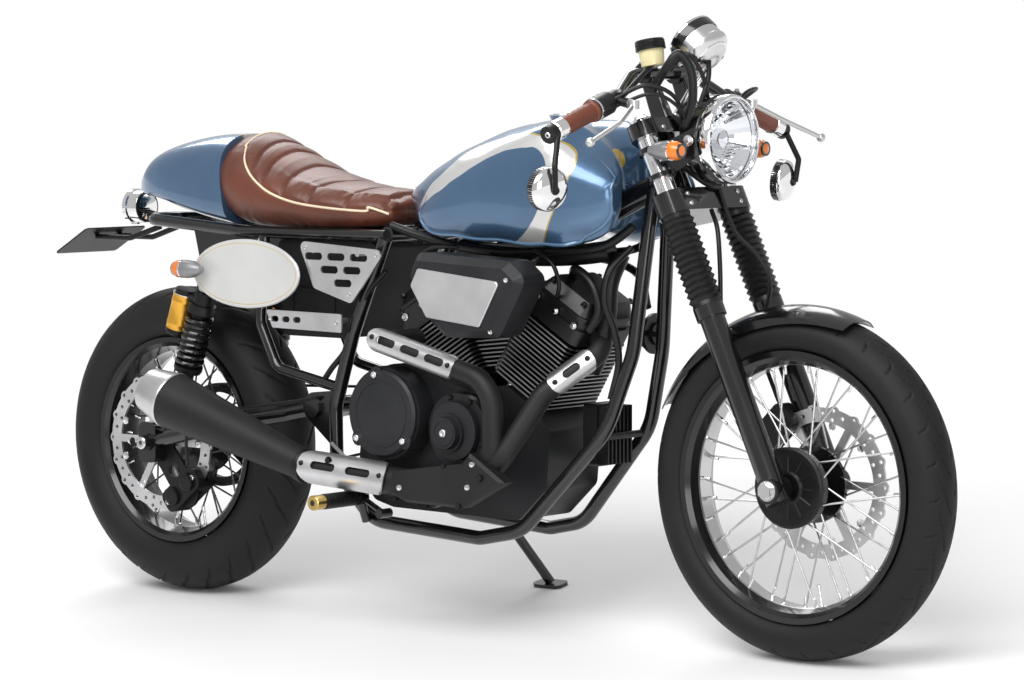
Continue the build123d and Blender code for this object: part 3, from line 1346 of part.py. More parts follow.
# Plate holder with the plate and the rear indicators on a cross bar
with BuildPart() as plate_holder:
    for side in (-1, 1):
        arm = [(-65, side * 30, 768.0), (-150, side * 34, 742), (-250, side * 34, 742)]
        add(tube(arm, 30, 6))
    add(rod((-240, -34, 742), (-240, 34, 742), 5))
    with BuildSketch(Plane((-272, 0, 733), x_dir=(0, 1, 0), z_dir=(-0.5, 0, 0.87))):
        RectangleRounded(180, 110, 8)
    extrude(amount=3)
save(plate_holder, "plate_holder")

LAMP_BEYOND_BOARD = 29.7
with BuildPart() as rear_indicators:
    for side in (-1, 1):
        lamp_y = BOARD_Y + LAMP_BEYOND_BOARD
        add(rod((152, side * (GUSSET_Y + 4 + SEATED), 691), (152, side * (lamp_y - 6), 691), 6.5))
        add(signal_lamp(Vector(166, side * lamp_y, 692), -1))
save(rear_indicators, "rear_indicators")

# Oval number boards, one each side
for side, name in SIDES:
    with BuildPart() as board:
        face = Plane((306, side * BOARD_Y, 686), x_dir=(1, 0, 0), z_dir=LEFT * side)
        with BuildSketch(face):
            Ellipse(146, 70)
        extrude(amount=5)
        chamfer(faces().sort_by(Axis.Y)[-1 if side > 0 else 0].edges(), 1.5)
        for x, z, seat_y in ((222, 698, GUSSET_Y + 4), (368, 704, BOX_Y)):
            add(rod((x, side * (seat_y + SEATED), z), (x, side * (BOARD_Y + 1), z), 6))
    save(board, f"number_board_{name}")

# Footrests: peg, its boss on a stay to the cradle, and the brake or shift pedal ahead of it
PEG = Vector(612, 300, 252)
PEG_RADIUS = 12
PEG_ROOT = 172
PEDALS = {
    # side: knee ahead of the boss, tip of the pedal
    "right": (Vector(60, 12, -26), Vector(742, 236, 236)),
    "left": (Vector(50, 14, 22), Vector(742, 232, 292)),
}
for side, name in SIDES:
    with BuildPart() as footrest:
        root = on_side(Vector(PEG.X, PEG_ROOT, PEG.Z), side)
        boss = on_side(Vector(PEG.X, PEG_ROOT - 22, PEG.Z), side)
        add(rod(root, on_side(PEG, side), PEG_RADIUS))
        add(rod(boss, root, 16))
        stay_foot = Vector(PEG.X, side * (FRAME_Y + 12.2 + TUBE_RADIUS), 203)
        add(rod(stay_foot, on_side(Vector(PEG.X, PEG_ROOT - 12, PEG.Z), side), 9))
        knee, tip = (on_side(point, side) for point in PEDALS[name])
        add(tube([boss + LEFT * side * 6, boss + knee, tip], 24, 6))
        add(rod(tip - LEFT * 16, tip + LEFT * 16, 9))
    save(footrest, f"footrest_{name}")

# Slotted side plates over the seat posts, each with a slotted strap below it
PLATE_ROWS = (
    # height, middle of the row, slots
    (726, 534, 3),
    (700, 546, 2),
    (674, 552, 1),
)
with BuildPart() as side_plates:
    for side in (-1, 1):
        face = Plane((0, side * SIDE_PLATE_Y, 0), x_dir=(1, 0, 0), z_dir=(0, -1, 0))
        with BuildSketch(face):
            with BuildLine():
                Polyline((432, 756), (664, 742), (574, 634), (474, 662), close=True)
            make_face()
            fillet(vertices(), 12)
            for height, middle, count in PLATE_ROWS:
                with Locations((middle, height)):
                    with GridLocations(60, 0, count, 1):
                        SlotOverall(46, 15, mode=Mode.SUBTRACT)
        extrude(amount=2, both=True)
        with BuildSketch(face):
            with BuildLine():
                Polyline((343, 614), (548, 612), (548, 575), (361, 578), close=True)
            make_face()
            fillet(vertices(), 4)
            with Locations((398, 596)):
                with GridLocations(30, 0, 3, 1):
                    SlotOverall(20, 12, mode=Mode.SUBTRACT)
        extrude(amount=2, both=True)
        for x, z in ((470, 738), (588, 734), (462, 596), (520, 596)):
            add(rod((x, side * (BOX_Y + SEATED), z), (x, side * (SIDE_PLATE_Y - 1), z), 6))
save(side_plates, "side_plates")

# Horn and regulator ahead of the engine, held by the down tubes
HORN = Vector(WHEELBASE - 426, 84, 588)
HORN_RADIUS = 40
HORN_HOLD = Vector(WHEELBASE - 360, 43.5, 590)
with BuildPart() as horn:
    for ahead, radius, depth in ((0, HORN_RADIUS - 8, 12), (12, HORN_RADIUS, 8), (20, 22, 6)):
        with BuildSketch(Plane(HORN + Vector(ahead, 0, 0), x_dir=(0, 1, 0), z_dir=(1, 0, 0))):
            Circle(radius)
        extrude(amount=depth)
    bracket = HORN + Vector(10, -HORN_RADIUS + 14, 2)
    toward = (bracket - HORN_HOLD).normalized()
    add(rod(HORN_HOLD + toward * (TUBE_RADIUS + RUNNING), bracket, 6))
save(horn, "horn")

REGULATOR = Vector(1082, 0, 396)
REGULATOR_FINS = 7
REGULATOR_HOLD = Vector(1148, 70.6, 396)
with BuildPart() as regulator:
    with BuildSketch(Plane(REGULATOR, x_dir=(0, 1, 0), z_dir=(1, 0, 0))):
        RectangleRounded(84, 120, 8)
    extrude(amount=34)
    with BuildSketch(Plane(REGULATOR + Vector(34, 0, 0), x_dir=(0, 1, 0), z_dir=(1, 0, 0))):
        with GridLocations(12, 0, REGULATOR_FINS, 1):
            Rectangle(4, 112)
    extrude(amount=24)
    reach = REGULATOR_HOLD.Y - TUBE_RADIUS - SEATED
    add(rod((REGULATOR_HOLD.X, -reach, REGULATOR.Z), (REGULATOR_HOLD.X, reach, REGULATOR.Z), 7))
    for side in (-1, 1):
        lug = Vector(REGULATOR_HOLD.X, side * 30, REGULATOR.Z)
        add(rod(REGULATOR + Vector(30, side * 30, 0), lug, 7))
save(regulator, "regulator")

# Rear caliper under the swingarm's end, on a carrier round the axle
CALIPER_HALF = 24
with BuildPart() as rear_caliper:
    caliper_face = Plane(
        REAR_AXLE + Vector(78, REAR_DISC_Y - CALIPER_HALF, -96), x_dir=Vector(0.78, 0, 0.63), z_dir=LEFT
    )
    with BuildSketch(caliper_face):
        RectangleRounded(112, 50, 16)
    extrude(amount=2 * CALIPER_HALF)
    with BuildSketch(caliper_face):
        with Locations((-26, -4), (26, -4)):
            Circle(17)
    extrude(amount=-7)
    with BuildSketch(Plane(REAR_AXLE + LEFT * (REAR_DISC_Y - 5.5), x_dir=(1, 0, 0), z_dir=LEFT)):
        Circle(REAR_DISC_RADIUS + 3)
    extrude(amount=11, mode=Mode.SUBTRACT)
    carrier = Plane(REAR_AXLE - LEFT * (SWINGARM_Y - 16 - SEATED), x_dir=(1, 0, 0), z_dir=LEFT)
    with BuildSketch(carrier):
        Circle(28)
        with Locations((84, 102)):
            Circle(32)
        make_hull()
        Circle(AXLE_RADIUS + FIT, mode=Mode.SUBTRACT)
        with Locations((48, 58)):
            Circle(16, mode=Mode.SUBTRACT)
    extrude(amount=7)
save(rear_caliper, "rear_caliper")

# Side stand: leg from its pivot to a foot flat on the ground
with BuildPart() as side_stand:
    floor_z = FOOT_Y * tan(radians(LEAN))
    floor_normal = Vector(0, -sin(radians(LEAN)), cos(radians(LEAN)))
    foot_centre = Vector(FOOT_X, FOOT_Y, floor_z)
    add(rod(STAND_PIVOT, foot_centre + floor_normal * 8, 10))
    with BuildSketch(Plane(foot_centre, x_dir=(1, 0, 0), z_dir=floor_normal)):
        RectangleRounded(70, 44, 14)
    extrude(amount=7)
    lug_start = STAND_PIVOT - STAND_AXIS * (STAND_LUG / 2)
    with BuildSketch(Plane(lug_start, z_dir=STAND_AXIS)):
        Circle(17)
    extrude(amount=STAND_LUG)
    with BuildSketch(Plane(lug_start, z_dir=STAND_AXIS)):
        Circle(60)
    extrude(amount=-30, mode=Mode.SUBTRACT)
    with BuildSketch(Plane(lug_start, z_dir=STAND_AXIS)):
        Circle(STAND_PIN_RADIUS + FIT)
    extrude(amount=40, mode=Mode.SUBTRACT)
save(side_stand, "side_stand")

# All pieces share one frame, whose origin is the middle of the whole at ground level
boxes = [leaned.bounding_box() for leaned in pieces.values()]
middle_x = (min(box.min.X for box in boxes) + max(box.max.X for box in boxes)) / 2
middle_y = (min(box.min.Y for box in boxes) + max(box.max.Y for box in boxes)) / 2
to_origin = Pos(-middle_x, -middle_y, 0)
for label, leaned in pieces.items():
    placed = to_origin * leaned
    placed.label = label
    export_step(placed, f"parts/{label}.step")
print("origin moved by", -middle_x, -middle_y)
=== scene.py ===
import json
from math import atan2, cos, hypot, pi, radians, sin

import bpy
import bmesh
from mathutils import Matrix, Vector
from mathutils.bvhtree import BVHTree


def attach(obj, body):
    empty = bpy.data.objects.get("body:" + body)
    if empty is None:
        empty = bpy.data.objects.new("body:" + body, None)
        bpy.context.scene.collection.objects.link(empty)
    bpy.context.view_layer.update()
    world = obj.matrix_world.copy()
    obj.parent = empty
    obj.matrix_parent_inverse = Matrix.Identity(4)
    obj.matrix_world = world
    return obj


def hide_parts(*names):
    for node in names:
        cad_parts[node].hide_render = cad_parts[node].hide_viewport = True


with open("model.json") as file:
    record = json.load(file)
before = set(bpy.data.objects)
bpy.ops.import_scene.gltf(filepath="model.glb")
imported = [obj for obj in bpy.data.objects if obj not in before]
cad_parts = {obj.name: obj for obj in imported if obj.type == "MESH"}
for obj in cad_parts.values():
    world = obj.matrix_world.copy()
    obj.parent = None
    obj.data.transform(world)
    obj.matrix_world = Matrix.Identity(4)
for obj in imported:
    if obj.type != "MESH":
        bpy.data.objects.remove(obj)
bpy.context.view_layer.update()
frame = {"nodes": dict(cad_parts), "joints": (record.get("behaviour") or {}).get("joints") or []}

print("frame loaded:", len(frame["nodes"]), "nodes")


# The bike is drawn upright, in millimetres: x forward, y to its left, z up, from the
# ground under the rear axle. Its wheels in the frame say how it is leaned and placed.
rearSpin = next(joint for joint in frame["joints"] if joint["name"] == "rear_wheel_spin")
rearAxleHeight = 322.11
leftWay = Vector(rearSpin["axis"]).normalized()
upWay = Vector((1, 0, 0)).cross(leftWay)
bikeOrigin = Vector(rearSpin["pos_m"]) - upWay * rearAxleHeight / 1000
leanAngle = atan2(leftWay.z, leftWay.y)
bikeFrame = Matrix.Translation(bikeOrigin) @ Matrix.Rotation(leanAngle, 4, "X")
millimetre = 0.001


def at(x, y, z):
    return bikeFrame @ (Vector((x, y, z)) * millimetre)


# Places that several pieces share, in the bike's millimetres
frontAxleAt = Vector((1570, 0, 326.75))
rearAxleAt = Vector((0, 0, rearAxleHeight))
rake = radians(24.6)
forkUp = Vector((-sin(rake), 0, cos(rake)))
forkAhead = Vector((cos(rake), 0, sin(rake)))
leftAxis = Vector((0, 1, 0))
forkSpread = 95
lensAt = frontAxleAt + Vector((-168, 0, 641))
sides = ((-1, "Right"), (1, "Left"))


def forkPoint(along, ahead=0, left=0):
    return frontAxleAt + forkUp * along + forkAhead * ahead + leftAxis * left


def onSide(point, side):
    return Vector((point[0], point[1] * side, point[2]))


# Camera at the photograph's viewpoint
view = {
    "stands": (5553.2, -5742.8, 1084.6),
    "looksAt": (871.0, 0.0, 567.3),
    "lens": 132.63,
    "film": 36.0,
}


def addCamera():
    camera = bpy.data.objects.new("camera", bpy.data.cameras.new("camera"))
    bpy.context.scene.collection.objects.link(camera)
    camera.data.lens = view["lens"]
    camera.data.sensor_width = view["film"]
    camera.data.clip_end = 60
    place = at(*view["stands"])
    ahead = (at(*view["looksAt"]) - place).normalized()
    right = ahead.cross(upWay).normalized()
    turn = Matrix((right, right.cross(ahead), -ahead)).transposed()
    camera.matrix_world = Matrix.Translation(place) @ turn.to_4x4()
    bpy.context.scene.camera = camera


addCamera()


# Shader nodes: a socket is given a number, a colour or another node's output
def setSockets(tree, node, sockets):
    for name, value in sockets.items():
        if isinstance(value, bpy.types.NodeSocket):
            tree.links.new(value, node.inputs[name])
        else:
            node.inputs[name].default_value = value


def addNode(tree, kind, sockets, **settings):
    node = tree.nodes.new("ShaderNode" + kind)
    for name, value in settings.items():
        setattr(node, name, value)
    setSockets(tree, node, sockets)
    return node


def mathNode(tree, operation, *values, clamp=False):
    node = addNode(tree, "Math", dict(enumerate(values)), operation=operation, use_clamp=clamp)
    return node.outputs[0]


def objectPlace(tree):
    return addNode(tree, "TexCoord", {}).outputs["Object"]


def emptyTree(owner):
    owner.use_nodes = True
    owner.node_tree.nodes.clear()
    return owner.node_tree


# Plain pale floor and soft studio light
studio = {
    "floorGrey": 0.80,
    "floorRadius": 30,
    "fadeFrom": 1.3,  # metres from the middle where the floor starts to turn white
    "fadeTo": 4.0,
    "worldStrength": 0.55,
    "lamps": {  # place, target, size, power
        "keyLight": ((0.6, -2.6, 4.2), (0.1, 0, 0.5), (4.5, 2.6), 210),
        "fillLight": ((4.4, -3.4, 1.9), (0.2, 0, 0.5), (2.6, 2.2), 60),
        "rimLight": ((-2.4, 2.6, 3.4), (0, 0, 0.6), (3.5, 2.0), 110),
    },
}
white = (1, 1, 1, 1)


def addFloor():
    bpy.ops.mesh.primitive_circle_add(vertices=96, radius=studio["floorRadius"], fill_type="NGON")
    floor = bpy.context.object
    floor.name = "studioFloor"
    material = bpy.data.materials.new("studioFloor")
    tree = emptyTree(material)
    paint = addNode(tree, "BsdfDiffuse", {"Color": (studio["floorGrey"],) * 3 + (1,)})
    glow = addNode(tree, "Emission", {"Color": white})
    # white far away, so that the floor meets the backdrop unseen
    far = addNode(tree, "VectorMath", {0: objectPlace(tree)}, operation="LENGTH").outputs["Value"]
    fade = addNode(tree, "MapRange", {
        "Value": far, "From Min": studio["fadeFrom"], "From Max": studio["fadeTo"],
    }, interpolation_type="SMOOTHSTEP")
    rays = addNode(tree, "LightPath", {}).outputs
    seen = mathNode(tree, "MAXIMUM", rays["Is Camera Ray"], rays["Is Glossy Ray"])
    share = mathNode(tree, "MULTIPLY", seen, fade.outputs["Result"])
    mix = addNode(tree, "MixShader", {"Fac": share, 1: paint.outputs[0], 2: glow.outputs[0]})
    addNode(tree, "OutputMaterial", {"Surface": mix.outputs[0]})
    floor.data.materials.append(material)


def addLamp(name, place, target, size, power):
    lamp = bpy.data.objects.new(name, bpy.data.lights.new(name, "AREA"))
    lamp.data.shape = "RECTANGLE"
    lamp.data.size, lamp.data.size_y = size
    lamp.data.energy = power
    lamp.location = place
    lamp.rotation_euler = (Vector(target) - Vector(place)).to_track_quat("-Z", "Y").to_euler()
    bpy.context.scene.collection.objects.link(lamp)


def addLight():
    world = bpy.data.worlds.new("studio")
    bpy.context.scene.world = world
    tree = emptyTree(world)
    soft = addNode(tree, "Background", {"Color": white, "Strength": studio["worldStrength"]})
    backdrop = addNode(tree, "Background", {"Color": white})
    seen = addNode(tree, "LightPath", {}).outputs["Is Camera Ray"]
    mix = addNode(tree, "MixShader", {"Fac": seen, 1: soft.outputs[0], 2: backdrop.outputs[0]})
    addNode(tree, "OutputWorld", {"Surface": mix.outputs[0]})
    for name, lamp in studio["lamps"].items():
        addLamp(name, *lamp)


addFloor()
addLight()
bpy.context.scene.view_settings.view_transform = "Standard"
print("camera, floor and lights placed")


# Finishes: each is a colour that wanders a little, a roughness, and a fine bump
finishes = {
    # colour, colour spread, metallic, roughness, coat, grain size in mm, grain height, usual slot
    "glossBlack": ((0.005, 0.005, 0.0055), 0.25, 0.0, 0.18, 0.5, 0.8, 0.008, "frame_black"),
    "satinBlack": ((0.0075, 0.0075, 0.008), 0.30, 0.1, 0.38, 0.0, 0.6, 0.050, "engine_black"),
    "matteBlack": ((0.010, 0.010, 0.0105), 0.30, 0.0, 0.50, 0.0, 0.5, 0.080, "matte_black_pipe"),
    "castGrey": ((0.022, 0.0225, 0.0245), 0.25, 0.35, 0.36, 0.0, 0.7, 0.090, "engine_grey"),
    "paleGrey": ((0.24, 0.24, 0.25), 0.15, 0.5, 0.34, 0.2, 0.7, 0.030, "grey_metal"),
    "silverPaint": ((0.62, 0.62, 0.61), 0.06, 0.35, 0.32, 0.4, 0.7, 0.010, "board_silver"),
    "brushedAlloy": ((0.62, 0.62, 0.63), 0.18, 0.9, 0.32, 0.0, 0.4, 0.060, "alloy"),
    "polishedSteel": ((0.72, 0.72, 0.73), 0.12, 1.0, 0.20, 0.0, 0.5, 0.015, "steel"),
    "chrome": ((0.86, 0.86, 0.87), 0.04, 1.0, 0.06, 0.0, 2.0, 0.002, "chrome"),
    "mirrorGlass": ((0.90, 0.91, 0.92), 0.02, 1.0, 0.02, 0.0, 3.0, 0.001, "chrome"),
    "tyreRubber": ((0.0075, 0.0075, 0.0075), 0.30, 0.0, 0.60, 0.0, 0.9, 0.120, "tyre_rubber"),
    "hoseRubber": ((0.006, 0.006, 0.006), 0.30, 0.0, 0.42, 0.1, 0.7, 0.060, "black_rubber"),
    "brownGrip": ((0.17, 0.045, 0.022), 0.20, 0.0, 0.44, 0.1, 0.9, 0.150, "brown_grip"),
    "tankLip": ((0.085, 0.175, 0.30), 0.10, 0.45, 0.28, 1.0, 0.6, 0.005, "tank_blue"),
    "goldMetal": ((0.80, 0.42, 0.06), 0.12, 0.9, 0.28, 0.0, 0.6, 0.020, "steel"),
    "goldPaint": ((0.55, 0.36, 0.06), 0.08, 0.2, 0.30, 0.3, 0.6, 0.010, "board_silver"),
    "brass": ((0.62, 0.43, 0.15), 0.15, 1.0, 0.26, 0.0, 0.6, 0.020, "steel"),
    "redLens": ((0.40, 0.01, 0.01), 0.15, 0.0, 0.12, 0.5, 3.0, 0.050, "red_lens"),
    "amberLens": ((0.70, 0.17, 0.015), 0.20, 0.0, 0.12, 0.5, 3.0, 0.050, "red_lens"),
    "cupPlastic": ((0.70, 0.62, 0.35), 0.10, 0.0, 0.25, 0.3, 2.0, 0.020, "black_plastic"),
    "creamPiping": ((0.72, 0.60, 0.42), 0.10, 0.0, 0.50, 0.0, 0.8, 0.080, "brown_leather"),
    "dialFace": ((0.020, 0.020, 0.022), 0.15, 0.0, 0.40, 0.0, 1.0, 0.010, "black_plastic"),
    "dialWhite": ((0.80, 0.80, 0.78), 0.03, 0.0, 0.45, 0.0, 1.0, 0.010, "black_plastic"),
}
madeFinishes = {}
patchScale = 9
coatRoughness = 0.06


def newMaterial(name):
    material = bpy.data.materials.new(name)
    material.use_nodes = True
    tree = material.node_tree
    return material, tree, tree.nodes["Principled BSDF"]


def addBump(tree, shader, height, strength, distance):
    bump = addNode(tree, "Bump", {"Height": height, "Strength": strength, "Distance": distance})
    setSockets(tree, shader, {"Normal": bump.outputs["Normal"]})


def addGrain(tree, shader, grainMm, grainHeight):
    sockets = {"Vector": objectPlace(tree), "Scale": 1 / (grainMm * millimetre), "Detail": 2}
    grain = addNode(tree, "TexNoise", sockets).outputs["Fac"]
    addBump(tree, shader, grain, min(grainHeight * 4, 1), grainHeight * millimetre)


def addPatches(tree, shader, colour, spread, roughness):
    # colour and roughness drift together in wide soft patches
    sockets = {"Vector": objectPlace(tree), "Scale": patchScale, "Detail": 5}
    patches = addNode(tree, "TexNoise", sockets).outputs["Fac"]
    ramp = addNode(tree, "ValToRGB", {"Fac": patches})
    low, high = ramp.color_ramp.elements
    low.position, high.position = 0.30, 0.72
    low.color = [c * (1 - spread) for c in colour] + [1]
    high.color = [min(c * (1 + spread), 1) for c in colour] + [1]
    sockets = {"Value": patches, "To Min": roughness * 0.85, "To Max": roughness * 1.2}
    wear = addNode(tree, "MapRange", sockets)
    setSockets(tree, shader, {"Roughness": wear.outputs["Result"], "Base Color": ramp.outputs["Color"]})
    return ramp.outputs["Color"]


def finish(name):
    if name not in madeFinishes:
        colour, spread, metallic, roughness, coat, grainMm, grainHeight, _ = finishes[name]
        material, tree, shader = newMaterial(name)
        addPatches(tree, shader, colour, spread, roughness)
        addGrain(tree, shader, grainMm, grainHeight)
        gloss = 0.5 if max(colour) > 0.03 or coat > 0.3 else 0.3  # plain blacks mirror less
        setSockets(tree, shader, {
            "Metallic": metallic, "Coat Weight": coat, "Coat Roughness": coatRoughness,
            "Specular IOR Level": gloss,
        })
        madeFinishes[name] = material
    return madeFinishes[name]


# Materials that change over one piece: their masks are worked out from the bike's own axes
def bikePlace(tree, origin=(0, 0, 0), tilt=0):
    # the bike's x, y, z from an origin, in metres, turned by tilt about the wheel axis
    turn = Matrix.Rotation(leanAngle, 3, "X") @ Matrix.Rotation(tilt, 3, "Y")
    mapping = addNode(tree, "Mapping", {
        "Vector": objectPlace(tree), "Location": at(*origin), "Rotation": turn.to_euler(),
    }, vector_type="TEXTURE")
    return addNode(tree, "SeparateXYZ", {0: mapping.outputs["Vector"]}).outputs


def radiusNode(tree, x, z):
    squares = mathNode(tree, "ADD", mathNode(tree, "MULTIPLY", x, x), mathNode(tree, "MULTIPLY", z, z))
    return mathNode(tree, "SQRT", squares)


def stepNode(tree, value, edge, soft):
    # 0 below the edge and 1 above it, over a soft width
    distance = mathNode(tree, "SUBTRACT", value, edge)
    return mathNode(tree, "MULTIPLY_ADD", distance, 1 / soft, 0.5, clamp=True)


def mixColour(tree, mask, below, above):
    colours = [(*colour, 1) if isinstance(colour, tuple) else colour for colour in (below, above)]
    mix = addNode(tree, "Mix", {"Factor": mask, "A": colours[0], "B": colours[1]}, data_type="RGBA")
    return mix.outputs["Result"]


def twoTone(name, base, accent, accentMetallic, accentRoughness, makeMask):
    # a finish whose masked part is another colour and metal
    colour, spread, metallic, roughness, coat, grainMm, grainHeight, _ = finishes[base]
    material, tree, shader = newMaterial(name)
    painted = addPatches(tree, shader, colour, spread, roughness)
    addGrain(tree, shader, grainMm, grainHeight)
    mask = makeMask(tree)
    setSockets(tree, shader, {
        "Base Color": mixColour(tree, mask, painted, accent),
        "Metallic": mathNode(tree, "MULTIPLY_ADD", mask, accentMetallic - metallic, metallic),
        "Roughness": mathNode(tree, "MULTIPLY_ADD", mask, accentRoughness - roughness, roughness),
        "Coat Weight": coat * 0.5,
    })
    return material


def wheelMaterial(name, axle, inner, outer, tone, metal):
    # rim and hub are black, and the wires between them have a tone of their own
    def wires(tree):
        x, _, z = bikePlace(tree, axle)
        radius = radiusNode(tree, x, z)
        within = stepNode(tree, radius, inner * millimetre, 0.001)
        beyond = stepNode(tree, radius, outer * millimetre, 0.001)
        return mathNode(tree, "SUBTRACT", within, beyond, clamp=True)
    return twoTone(name, "glossBlack", tone, metal, 0.22, wires)


fins = {"crank": (880, 0, 356), "halfLong": 0.0744, "halfWide": 0.0874, "lowest": 0.142, "highest": 0.285,
        "edge": (0.30, 0.30, 0.31)}


def finMaterial(name, lean):
    # machined edges of the fins are bright, the rest is black
    def edges(tree):
        x, y, z = bikePlace(tree, fins["crank"], radians(lean))
        faceX = stepNode(tree, mathNode(tree, "ABSOLUTE", x), fins["halfLong"], 0.0006)
        faceY = stepNode(tree, mathNode(tree, "ABSOLUTE", y), fins["halfWide"], 0.0006)
        finned = stepNode(tree, z, fins["lowest"], 0.002)
        head = stepNode(tree, z, fins["highest"], 0.002)
        rows = mathNode(tree, "SUBTRACT", finned, head, clamp=True)
        return mathNode(tree, "MULTIPLY", mathNode(tree, "MAXIMUM", faceX, faceY), rows)
    return twoTone(name, "satinBlack", fins["edge"], 0.8, 0.35, edges)


lever = {"ahead": 1.305, "below": 1.075, "silver": (0.62, 0.62, 0.61)}  # where it starts, in metres


def controlMaterial():
    # silver lever ahead of the bar, the rest of the control is black
    def leverMask(tree):
        x, _, z = bikePlace(tree)
        ahead = stepNode(tree, x, lever["ahead"], 0.001)
        low = stepNode(tree, mathNode(tree, "MULTIPLY", z, -1), -lever["below"], 0.001)
        return mathNode(tree, "MULTIPLY", ahead, low)
    return twoTone("leverAndHousing", "satinBlack", lever["silver"], 0.9, 0.28, leverMask)


def curveNode(tree, value, pairs):
    curve = addNode(tree, "FloatCurve", {"Value": value})
    points = curve.mapping.curves[0].points
    for number, (x, y) in enumerate(pairs):
        point = points[number] if number < 2 else points.new(x, y)
        point.location = (x, y)
    curve.mapping.update()
    return curve.outputs[0]


tankPaint = {
    "blue": (0.095, 0.195, 0.335),
    "deepBlue": (0.040, 0.095, 0.185),
    "silver": (0.66, 0.66, 0.65),
    "gold": (0.52, 0.36, 0.06),
    "stripeCentre": (940, 0, 850),
    "reach": 0.3,  # metres that count as 1 in the two edges below
    "innerEdge": [  # angle from straight ahead, millimetres from the centre
        (-80, 90), (-42, 100), (-13, 118), (5, 134), (20, 149), (31, 157), (39, 153), (50, 130),
        (66, 104), (96, 79), (135, 78), (166, 111), (179, 156), (186, 204),
    ],
    "outerEdge": [
        (-80, 140), (-21, 147), (-8, 157), (14, 199), (21, 211), (30, 203), (40, 182), (55, 155),
        (75, 127), (98, 114), (120, 118), (137, 127), (158, 141), (173, 174), (180, 190), (186, 206),
    ],
    "pinstripe": 0.0016,
}


def stripedPaint(name, makeMasks):
    # metallic blue with flakes and a slow drift, under a silver band and a gold line
    material, tree, shader = newMaterial(name)
    band, line = makeMasks(tree)
    place = objectPlace(tree)
    fine = addNode(tree, "TexNoise", {"Vector": place, "Scale": 1400, "Detail": 1}).outputs["Fac"]
    slow = addNode(tree, "TexNoise", {"Vector": place, "Scale": 5}).outputs["Fac"]
    drift = mathNode(tree, "MULTIPLY_ADD", fine, 0.5, slow)
    mask = mathNode(tree, "MULTIPLY_ADD", drift, 1.4, -0.55, clamp=True)
    blue = mixColour(tree, mask, tankPaint["deepBlue"], tankPaint["blue"])
    banded = mixColour(tree, band, blue, tankPaint["silver"])
    setSockets(tree, shader, {
        "Base Color": mixColour(tree, line, banded, tankPaint["gold"]), "Metallic": 0.65, "Roughness": 0.30,
        "Coat Weight": 1.0, "Coat Roughness": 0.03,
    })
    return material


def tankMasks(tree):
    # the band lies between two edges given by their distance at each angle round a centre
    x, _, z = bikePlace(tree, tankPaint["stripeCentre"])
    turn = mathNode(tree, "ARCTAN2", mathNode(tree, "MULTIPLY", x, -1), z)
    share = mathNode(tree, "MULTIPLY_ADD", turn, 1 / (2 * pi), 0.5)
    radius = radiusNode(tree, x, z)
    edges = []
    for key in ("innerEdge", "outerEdge"):
        pairs = [((angle + 90) / 360, r * millimetre / tankPaint["reach"]) for angle, r in tankPaint[key]]
        edges.append(mathNode(tree, "MULTIPLY", curveNode(tree, share, pairs), tankPaint["reach"]))
    inner, outer = edges
    begun = stepNode(tree, radius, inner, 0.0008)
    ended = stepNode(tree, radius, outer, 0.0008)
    band = mathNode(tree, "SUBTRACT", begun, ended, clamp=True)
    offset = mathNode(tree, "ABSOLUTE", mathNode(tree, "SUBTRACT", radius, outer))
    far = stepNode(tree, offset, tankPaint["pinstripe"], 0.0006)
    forward = stepNode(tree, x, 0.02, 0.01)
    return band, mathNode(tree, "MULTIPLY", mathNode(tree, "SUBTRACT", 1, far), forward)


cowlPaint = {"halfStripe": 0.030, "widening": 0.04, "lowest": 0.845, "pinstripe": 0.0024}


def cowlMasks(tree):
    # a pale stripe along the top with a gold line at each edge
    x, y, z = bikePlace(tree)
    across = mathNode(tree, "ABSOLUTE", y)
    edge = mathNode(tree, "MULTIPLY_ADD", x, cowlPaint["widening"], cowlPaint["halfStripe"])
    beyond = stepNode(tree, across, edge, 0.0008)
    high = stepNode(tree, z, cowlPaint["lowest"], 0.004)
    band = mathNode(tree, "MULTIPLY", mathNode(tree, "SUBTRACT", 1, beyond), high)
    offset = mathNode(tree, "ABSOLUTE", mathNode(tree, "SUBTRACT", across, edge))
    near = mathNode(tree, "SUBTRACT", 1, stepNode(tree, offset, cowlPaint["pinstripe"], 0.0006))
    return band, mathNode(tree, "MULTIPLY", near, high)


nodeFinishes = {
    "glossBlack": [
        "main_frame", "frame_cradle_right", "frame_cradle_left", "swingarm", "fork_yokes", "fork_sliders",
        "headlight_bracket", "front_fender", "handlebar", "side_stand", "rear_axle", "footrest_right",
        "footrest_left",
    ],
    "satinBlack": [
        "front_caliper", "rear_caliper", "shock_right", "shock_left", "mirror_right", "mirror_left",
        "rear_pulley", "plate_holder", "regulator", "horn", "tail_light",
    ],
    "matteBlack": ["exhaust_pipes", "muffler", "side_box"],
    "castGrey": ["crankcase", "right_engine_cover", "left_engine_cover", "air_cleaner"],
    "paleGrey": ["rear_indicators"],
    "silverPaint": ["number_board_right", "number_board_left"],
    "brushedAlloy": [
        "air_cleaner_plate", "exhaust_guards", "side_plates", "fuel_cap", "front_disc", "rear_disc",
    ],
    "polishedSteel": ["front_axle"],
    "chrome": ["fork_stanchions", "speedometer"],
    "hoseRubber": ["fork_gaiters", "drive_belt"],
    "brownGrip": ["grip_right", "grip_left"],
}


def paintNode(name, material):
    mesh = frame["nodes"][name].data
    mesh.materials.clear()
    mesh.materials.append(material)


